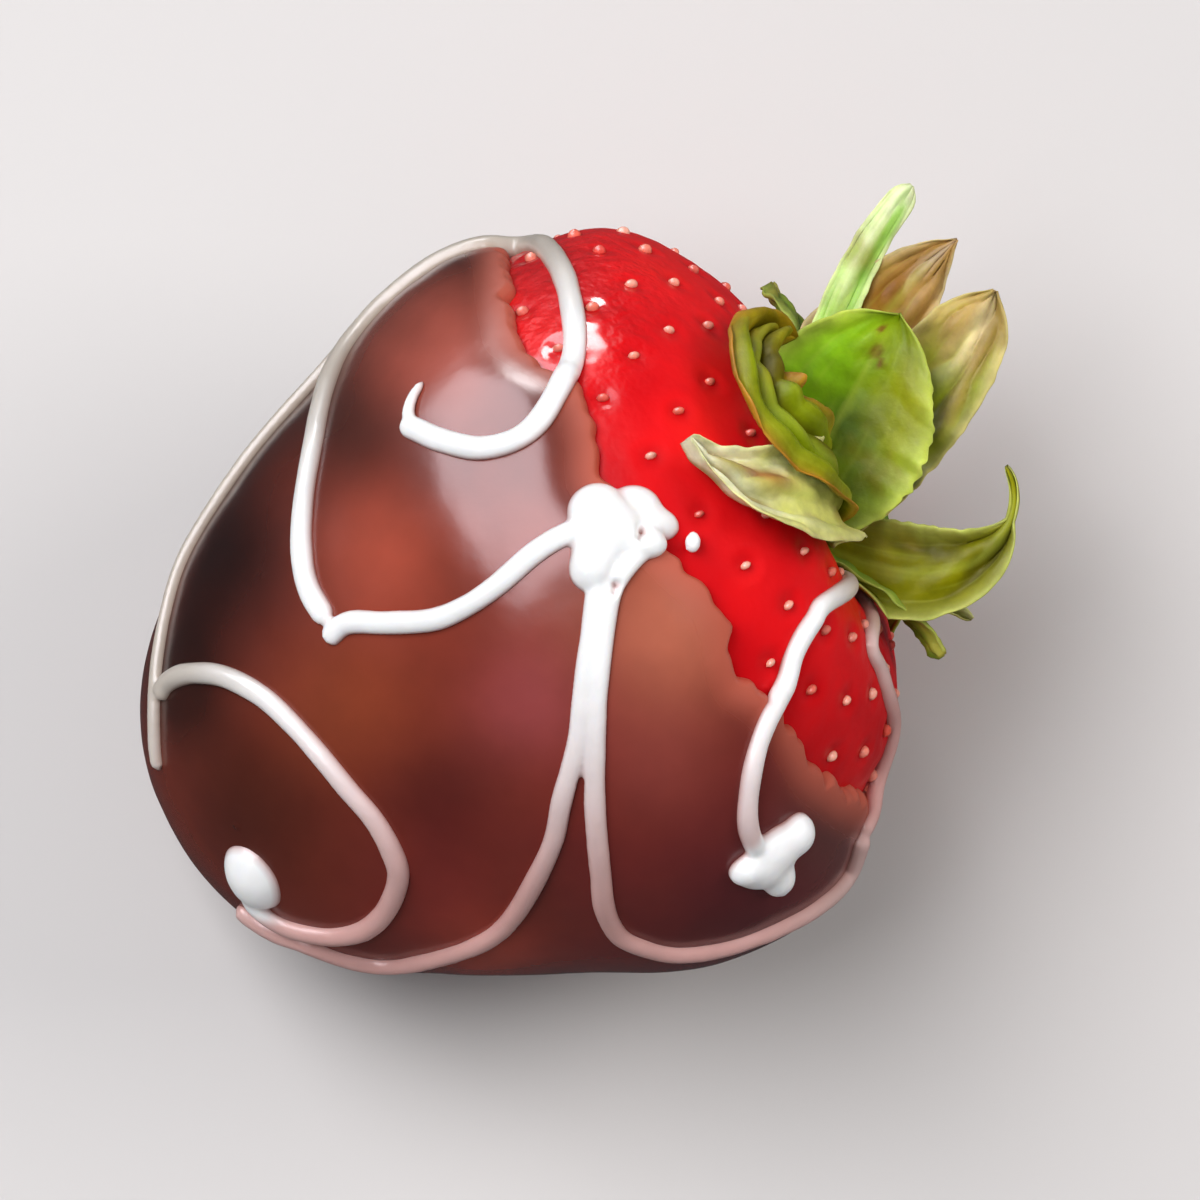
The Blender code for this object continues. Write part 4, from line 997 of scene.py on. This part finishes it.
# turn, angle and lift are at the foot, middle and tip
lyingLeaves = (
    {"turn": (0, -18, -60), "angle": (5, 37, 26), "lift": (1.9, 2.0, 1.9), "width": 6.6, "roll": 14,
     "cup": 0.3, "point": 0.3, "folds": (3, 0.5, 1.0),
     "tones": ((124, 140, 4), (146, 126, 10), (188, 120, 40), (92, 84, 4))},
    {"turn": (5, 2, -13), "angle": (5, 36, 54), "lift": (1.8, 1.3, 2.1), "width": 7.0, "roll": 0,
     "cup": 0.1, "point": 0.7, "folds": (2, 0.6, 0.8),
     "tones": ((206, 208, 112), (242, 242, 210), (222, 218, 146), (160, 132, 50)),
     "patches": ((0.70, 0.2, 0.12, (168, 104, 50)),)},
    {"turn": (172, 165, 150), "angle": (5, 28, 46), "lift": (1.8, 1.4, 1.6), "width": 7.0, **hiddenLeaf,
     "tones": ((92, 132, 28), (120, 146, 40), (150, 172, 70), (60, 96, 14))},
    {"turn": (-112, -118, -128), "angle": (5, 27, 42), "lift": (1.8, 1.4, 2.4), "width": 6.0, **hiddenLeaf,
     "tones": ((98, 134, 30), (146, 140, 50), (160, 174, 76), (66, 100, 16))},
    {"turn": (108, 102, 94), "angle": (5, 20, 28), "lift": (1.8, 1.5, 3.0), "width": 6.0, **hiddenLeaf,
     "tones": ((104, 136, 30), (150, 144, 52), (168, 178, 84), (70, 100, 18))},
)


def bentThrough(values, share):
    base, middle, tip = values
    left = 1 - share
    return base * left * (1 - 2 * share) + middle * 4 * share * left + tip * share * (2 * share - 1)


def leafHalfWidth(share, width, point, thread):
    # the thread is the share of the length that has dried to a thin curl
    along = leafShape["foot"] + (1 - leafShape["foot"]) * np.minimum(share / (1 - thread), 1.0)
    power = leafShape["blunt"] + (1 - leafShape["blunt"]) * point
    full = np.sin(pi * np.minimum(along, 1.0) ** 0.9) ** power
    return np.maximum(width / 2 * full, 0.0)


def standingMidrib(leaf, number):
    share = np.linspace(0, 1, leafShape["rows"] + 1)
    heading = np.radians(bentThrough(leaf["heading"], share))[:, None]
    climb = np.radians(bentThrough(leaf["climb"], share))[:, None]
    level = planAlong * np.cos(heading) - planAcross * np.sin(heading)
    forward = level * np.cos(climb) + planFacing * np.sin(climb)
    facing = planFacing * np.cos(climb) - level * np.sin(climb)
    across, towards = leaf["start"]
    start = centre + axis * (leafShape["discLevel"] + leafShape["stagger"] * (number - 3))
    start = start + planAcross * across + planFacing * towards
    steps = forward * leaf["length"] / leafShape["rows"]
    place = start + np.vstack((np.zeros(3), np.cumsum(steps[1:], axis=0)))
    return share, place, forward, facing


def lyingMidrib(leaf, number):
    share = np.linspace(0, 1, leafShape["rows"] + 1)
    angle = np.radians(bentThrough(leaf["angle"], share))
    turn = np.radians(bentThrough(leaf["turn"], share))
    lift = bentThrough(leaf["lift"], share) + leafShape["stagger"] * number
    place = skinPoint(angle, turn, lift)
    forward = unit(np.gradient(place, axis=0))
    outward = place - centre
    facing = unit(outward - forward * dot(outward, forward)[:, None])
    return share, place, forward, facing


def liftClear(points, clear):
    direction = points - centre
    onCoat = coatDepth(direction) > 0
    angle, turn = anglesOf(direction)
    base = skinPoint(angle, turn, np.where(onCoat, coatLift(direction), 0.0))
    least = lengthOf(base - centre) + clear
    reach = lengthOf(direction)
    return np.where((reach > least)[..., None], points, centre + unit(direction) * least[..., None])


def blended(first, second, share):
    return first + (np.asarray(second) - first) * share[..., None]


def makeLeaf(number, leaf, stations):
    share, place, forward, facing = stations
    rows, columns = leafShape["rows"], leafShape["columns"]
    along, aside = np.meshgrid(share, np.linspace(-1, 1, columns + 1), indexing="ij")
    outer = np.abs(aside)

    def grain(start, alongScale, across):
        grid = np.stack((np.full_like(along, number * start), along * alongScale, across), axis=-1)
        return np.array([noise.noise(Vector(point)) for point in grid.reshape(-1, 3)]).reshape(along.shape)

    pleats, pleatDepth, crumpled = leaf["folds"]
    roll = np.radians(leaf["roll"]) * share[:, None]
    turned = facing * np.cos(roll) + np.cross(forward, facing) * np.sin(roll)
    right = np.cross(forward, turned)
    tipRound = np.sqrt(1 - ((share - 1 + leaf["tipRun"]) / leaf["tipRun"]).clip(0, 1) ** 2)
    half = leafHalfWidth(share, leaf["width"], leaf["point"], leaf["thread"])
    half = np.maximum(half, leafShape["threadHalf" if leaf["thread"] else "leastHalf"])
    half = (half * np.maximum(tipRound, leaf["tipLeast"]))[:, None]
    wave = grain(3.1, 3.4, aside * 1.2) * leafShape["wave"] * along
    ragged = grain(5.7, 22, np.sign(aside))
    reach = half * aside * (1 + leafShape["ragged"] * ragged * outer ** 3)
    ruffle = grain(2.3, 9, aside * 1.5) * leafShape["ruffle"] * outer ** 2 * np.minimum(half, 3.0) * 0.8
    bow = leaf["cup"] * half * aside ** 2
    # folds and veins run lengthwise; the veins fan out from the foot
    drift = grain(4.3, 2.6, aside * 0.8)
    dents = grain(7.9, 6.5, aside * 2.6)
    fold = np.cos(pi * pleats * aside + 2.4 * drift)
    fold = (fold - 0.3 * np.abs(fold)) * pleatDepth * smoothStep(0.04, 0.4, along)
    crumple = crumpled * (np.abs(dents) * 1.3 - 0.25) * smoothStep(0.05, 0.3, along)
    strip = (aside * leafShape["veins"] / 2 + 0.35 * drift) % 1.0
    vein = 0.6 * np.exp(-((strip - 0.5) / 0.12) ** 2) * (1 - outer ** 6)
    vein = np.maximum(vein, np.exp(-(reach / 0.3) ** 2)) * (1 - smoothStep(0.8, 0.98, along))
    relief = fold + crumple - leafShape["veinHeight"] * vein * smoothStep(0.0, 0.15, along)
    lift = (bow + wave + ruffle + relief)[..., None]
    middle = place[:, None] + right[:, None] * reach[..., None] + turned[:, None] * lift
    middle = liftClear(middle, leafShape["clear"] + leafShape["stagger"] * number)

    # an upper and a lower side, closed all round
    normal = unit(np.cross(np.gradient(middle, axis=1), np.gradient(middle, axis=0)))
    thin = (1 - 0.75 * outer ** 6) * (1 - 0.6 * smoothStep(0.8, 1.0, along))
    offset = normal * (leafShape["thickness"] / 2 * thin)[..., None]
    size = along.size
    index = np.arange(size).reshape(along.shape)
    corners = [index[:-1, :-1], index[:-1, 1:], index[1:, 1:], index[1:, :-1]]
    upper = np.stack([corner.ravel() for corner in corners], axis=1)
    faces = upper.tolist() + (size + upper[:, ::-1]).tolist()
    border = np.concatenate((index[0, :-1], index[:-1, -1], index[-1, :0:-1], index[:0:-1, 0]))
    for start, end in zip(border.tolist(), np.roll(border, -1).tolist()):
        faces.append((end, start, size + start, size + end))
    points = np.concatenate(((middle + offset).reshape(-1, 3), (middle - offset).reshape(-1, 3)))

    base, tip, rim, dark = (np.array(fromScreen(*tone)) for tone in leaf["tones"])
    tone = blended(base, tip, smoothStep(0.45, 0.98, along + 0.10 * ragged + 0.25 * dents))
    # painted shade: darker down in the folds and hollows
    hollowShade = smoothStep(-0.1, 0.5, drift - 0.35 * fold / max(pleatDepth, 0.1) + 0.5 * dents)
    tone = blended(tone, dark, hollowShade * smoothStep(1.0, 0.55, outer) * leaf["hollows"])
    for at, across, spread, colour in leaf["patches"]:
        far = np.hypot(along - at, (aside - across) / 2) / spread + 0.4 * dents
        tone = blended(tone, fromScreen(*colour), 0.9 * np.exp(-np.maximum(far, 0) ** 2.2))
    # the paler rim: partly its own colour, partly a painted highlight along the edge
    tone = blended(tone, rim, 0.8 * outer ** 6)
    spotted = np.zeros_like(along)
    for at, across, spread in leaf["spots"]:
        far = np.hypot((along - at) * leaf["length"] / leaf["width"], (aside - across) / 2)
        spotted = np.maximum(spotted, 1 - smoothStep(spread * 0.6, spread * 1.3, far))
    tone = blended(tone, fromScreen(*leafShape["spot"]), 0.85 * spotted)
    return points, faces, np.tile(tone.reshape(-1, 4), (2, 1)), np.tile(vein.ravel(), 2)


def makeLeafLook():
    material, nodes = newLook("leaf, green to tan", {
        "Specular IOR Level": 0.2, "Subsurface Weight": 0.15, "Subsurface Radius": (0.6, 1.0, 0.1),
        "Subsurface Scale": 0.5 * mm})
    mottle = nodes.between(nodes.noise(420.0, 4.0), 0.25, 0.75, 0.62, 1.28)
    veined = nodes.between(nodes.attribute("vein"), 0.2, 1.0, 0.0, 0.28)
    lighter = nodes.mix(veined, nodes.scaled(nodes.attribute("tone", "Color"), mottle), (176, 190, 70))
    patches = nodes.between(nodes.noise(180.0), 0.56, 0.72, 0.0, 0.4, smooth=True)
    nodes.give(BaseColor=nodes.mix(patches, lighter, (140, 118, 24)),
               Roughness=nodes.grain(600.0, 0.45, 0.62))
    nodes.bumps((nodes.noise(900.0), 0.08), (nodes.noise(3200.0, 2.0), 0.02))
    return material


def makeLeaves():
    stations = ([(leaf, standingMidrib) for leaf in standingLeaves]
                + [(leaf, lyingMidrib) for leaf in lyingLeaves])
    points, faces, tones, veins, start = [], [], [], [], 0
    for number, (leaf, midrib) in enumerate(stations):
        leafPoints, leafFaces, tone, vein = makeLeaf(number, {**plainLeaf, **leaf}, midrib(leaf, number))
        points.append(leafPoints)
        faces += [tuple(start + corner for corner in face) for face in leafFaces]
        tones.append(tone)
        veins.append(vein)
        start += len(leafPoints)
    leaves = makeMesh("leafCrown", np.concatenate(points), faces)
    setAttribute(leaves.data, "tone", "FLOAT_COLOR", np.concatenate(tones))
    setAttribute(leaves.data, "vein", "FLOAT", np.concatenate(veins))
    leaves.data.materials.append(makeLeafLook())
    print(len(stations), "leaves made")
    return leaves


stemShape = {
    "ridges": 9,
    "ridgeHeight": 0.05,
    "columns": 72,
    "profile": ((-0.75, 1.8), (-0.35, 2.7), (0.0, 3.0), (0.35, 2.75), (0.7, 2.2), (1.0, 1.7), (1.4, 1.45),
                (2.0, 1.38), (2.7, 1.33), (2.85, 1.27), (2.93, 1.12), (2.9, 0.8), (2.82, 0.4)),
}


def makeStemLook():
    material, nodes = newLook("stem, pale green", {
        "Roughness": 0.5, "Subsurface Weight": 0.2, "Subsurface Scale": 0.6 * mm})
    nodes.give(BaseColor=nodes.ramp(nodes.noise(500.0), ((0.3, (110, 128, 44)), (0.7, (168, 176, 88)))))
    nodes.bumps((nodes.noise(1500.0), 0.05))
    return material


def makeStem():
    across = unit(np.cross(axis, side))
    other = np.cross(axis, across)
    turn = np.linspace(0, 2 * pi, stemShape["columns"], endpoint=False)[:, None]
    rings = []
    for level, radius in stemShape["profile"]:
        ridged = radius * (1 + stemShape["ridgeHeight"] * np.cos(stemShape["ridges"] * turn))
        middle = centre + axis * (leafShape["discLevel"] + level)
        rings.append(middle + across * ridged * np.cos(turn) + other * ridged * np.sin(turn))
    stem = makeRings("stem", rings[::-1])
    stem.data.materials.append(makeStemLook())
    print("stem made")
    return stem


studio = {
    "floor": (206, 204, 202),
    "floorSize": 1.2,
    "world": (0.90, 0.94, 1.0, 1.0),
    "worldStrength": 0.06,
    # name; direction to it in the picture's own right, up and towards; metres off; size;
    # degrees it leans left; watts; colour; whether it lights what is matt or is mirrored
    "lights": (
        ("key", (-0.34, 0.30, 0.89), 0.9, (0.42, 0.72), 34, 8.6, (0.99, 0.98, 1.0), "matt"),
        ("window", (-0.53, 0.56, 0.64), 0.9, (0.72, 1.42), 41, 27.0, (0.96, 0.93, 1.0), "glossy"),
        ("skyFill", (0.0, 0.2, 0.98), 1.3, (2.0, 2.0), 0, 3.6, (0.94, 0.96, 1.0), "matt"),
        ("rightFill", (0.80, 0.30, 0.5), 1.0, (0.6, 0.6), 0, 5.0, (1.0, 0.95, 0.93), "matt"),
        ("glints", (-0.16, 0.98, 0.12), 0.8, (0.22, 0.14), 0, 2.4, (1.0, 0.97, 0.98), "glossy"),
    ),
}


def standAt(name, data, position, right, up, back):
    obj = addObject(name, data)
    matrix = Matrix((right, up, back)).transposed().to_4x4()
    matrix.translation = Vector(position)
    obj.matrix_world = matrix
    return obj


def makeStudio():
    half = studio["floorSize"] / mm / 2
    corners = [(-half, -half, 0), (half, -half, 0), (half, half, 0), (-half, half, 0)]
    floor = makeMesh("floor", corners, [(0, 1, 2, 3)])
    floor.data.materials.append(newLook("pale floor", {"Base Color": studio["floor"], "Roughness": 0.7})[0])
    floor.visible_glossy = False        # the berry's gloss mirrors the soft sky alone

    world = bpy.data.worlds.new("soft sky")
    world.use_nodes = True
    background = world.node_tree.nodes["Background"]
    background.inputs["Color"].default_value = studio["world"]
    background.inputs["Strength"].default_value = studio["worldStrength"]
    bpy.context.scene.world = world

    target = centre * mm
    for name, towards, distance, size, degrees, power, colour, seen in studio["lights"]:
        data = bpy.data.lights.new(name, "AREA")
        data.shape = "RECTANGLE"
        data.size, data.size_y = size
        data.energy, data.color = power, colour
        back = unit(np.array(towards) @ np.array((screenRight, screenUp, planFacing)))
        level = unit(np.cross(screenUp, back))
        upright = np.cross(back, level)
        cosine, sine = cos(radians(degrees)), sin(radians(degrees))
        right, up = level * cosine + upright * sine, upright * cosine - level * sine
        lamp = standAt(name, data, target + back * distance, right, up, back)
        lamp.visible_diffuse, lamp.visible_glossy = seen == "matt", seen == "glossy"

    camera = bpy.data.cameras.new("photoCamera")
    camera.sensor_width = 36.0
    camera.lens = 36.0 * photoView["distance"] / (photoView["frameWidth"] * mm)
    camera.clip_start = 0.01
    aim = target + (screenRight * photoView["shiftRight"] + screenUp * photoView["shiftUp"]) * mm
    away = aim + planFacing * photoView["distance"]
    bpy.context.scene.camera = standAt("photoCamera", camera, away, screenRight, screenUp, planFacing)
    # colours as they are given, not toned down
    bpy.context.scene.view_settings.view_transform = "Standard"
    print("floor, light and camera made")


redFruit, berrySeeds = makeBerry()
chocolateShell = makeCoat()
whitePiping = makePiping()
leafCrown = makeLeaves()
stem = makeStem()
makeStudio()

for piece, slotName in ((redFruit, "berry"), (berrySeeds, "berry"), (chocolateShell, "chocolate"),
                        (whitePiping, "drizzle"), (leafCrown, "leaf"), (stem, "leaf")):
    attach(piece, "root")
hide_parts("berry")
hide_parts("chocolate_coat")
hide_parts("calyx")
print("pieces placed on the frame")
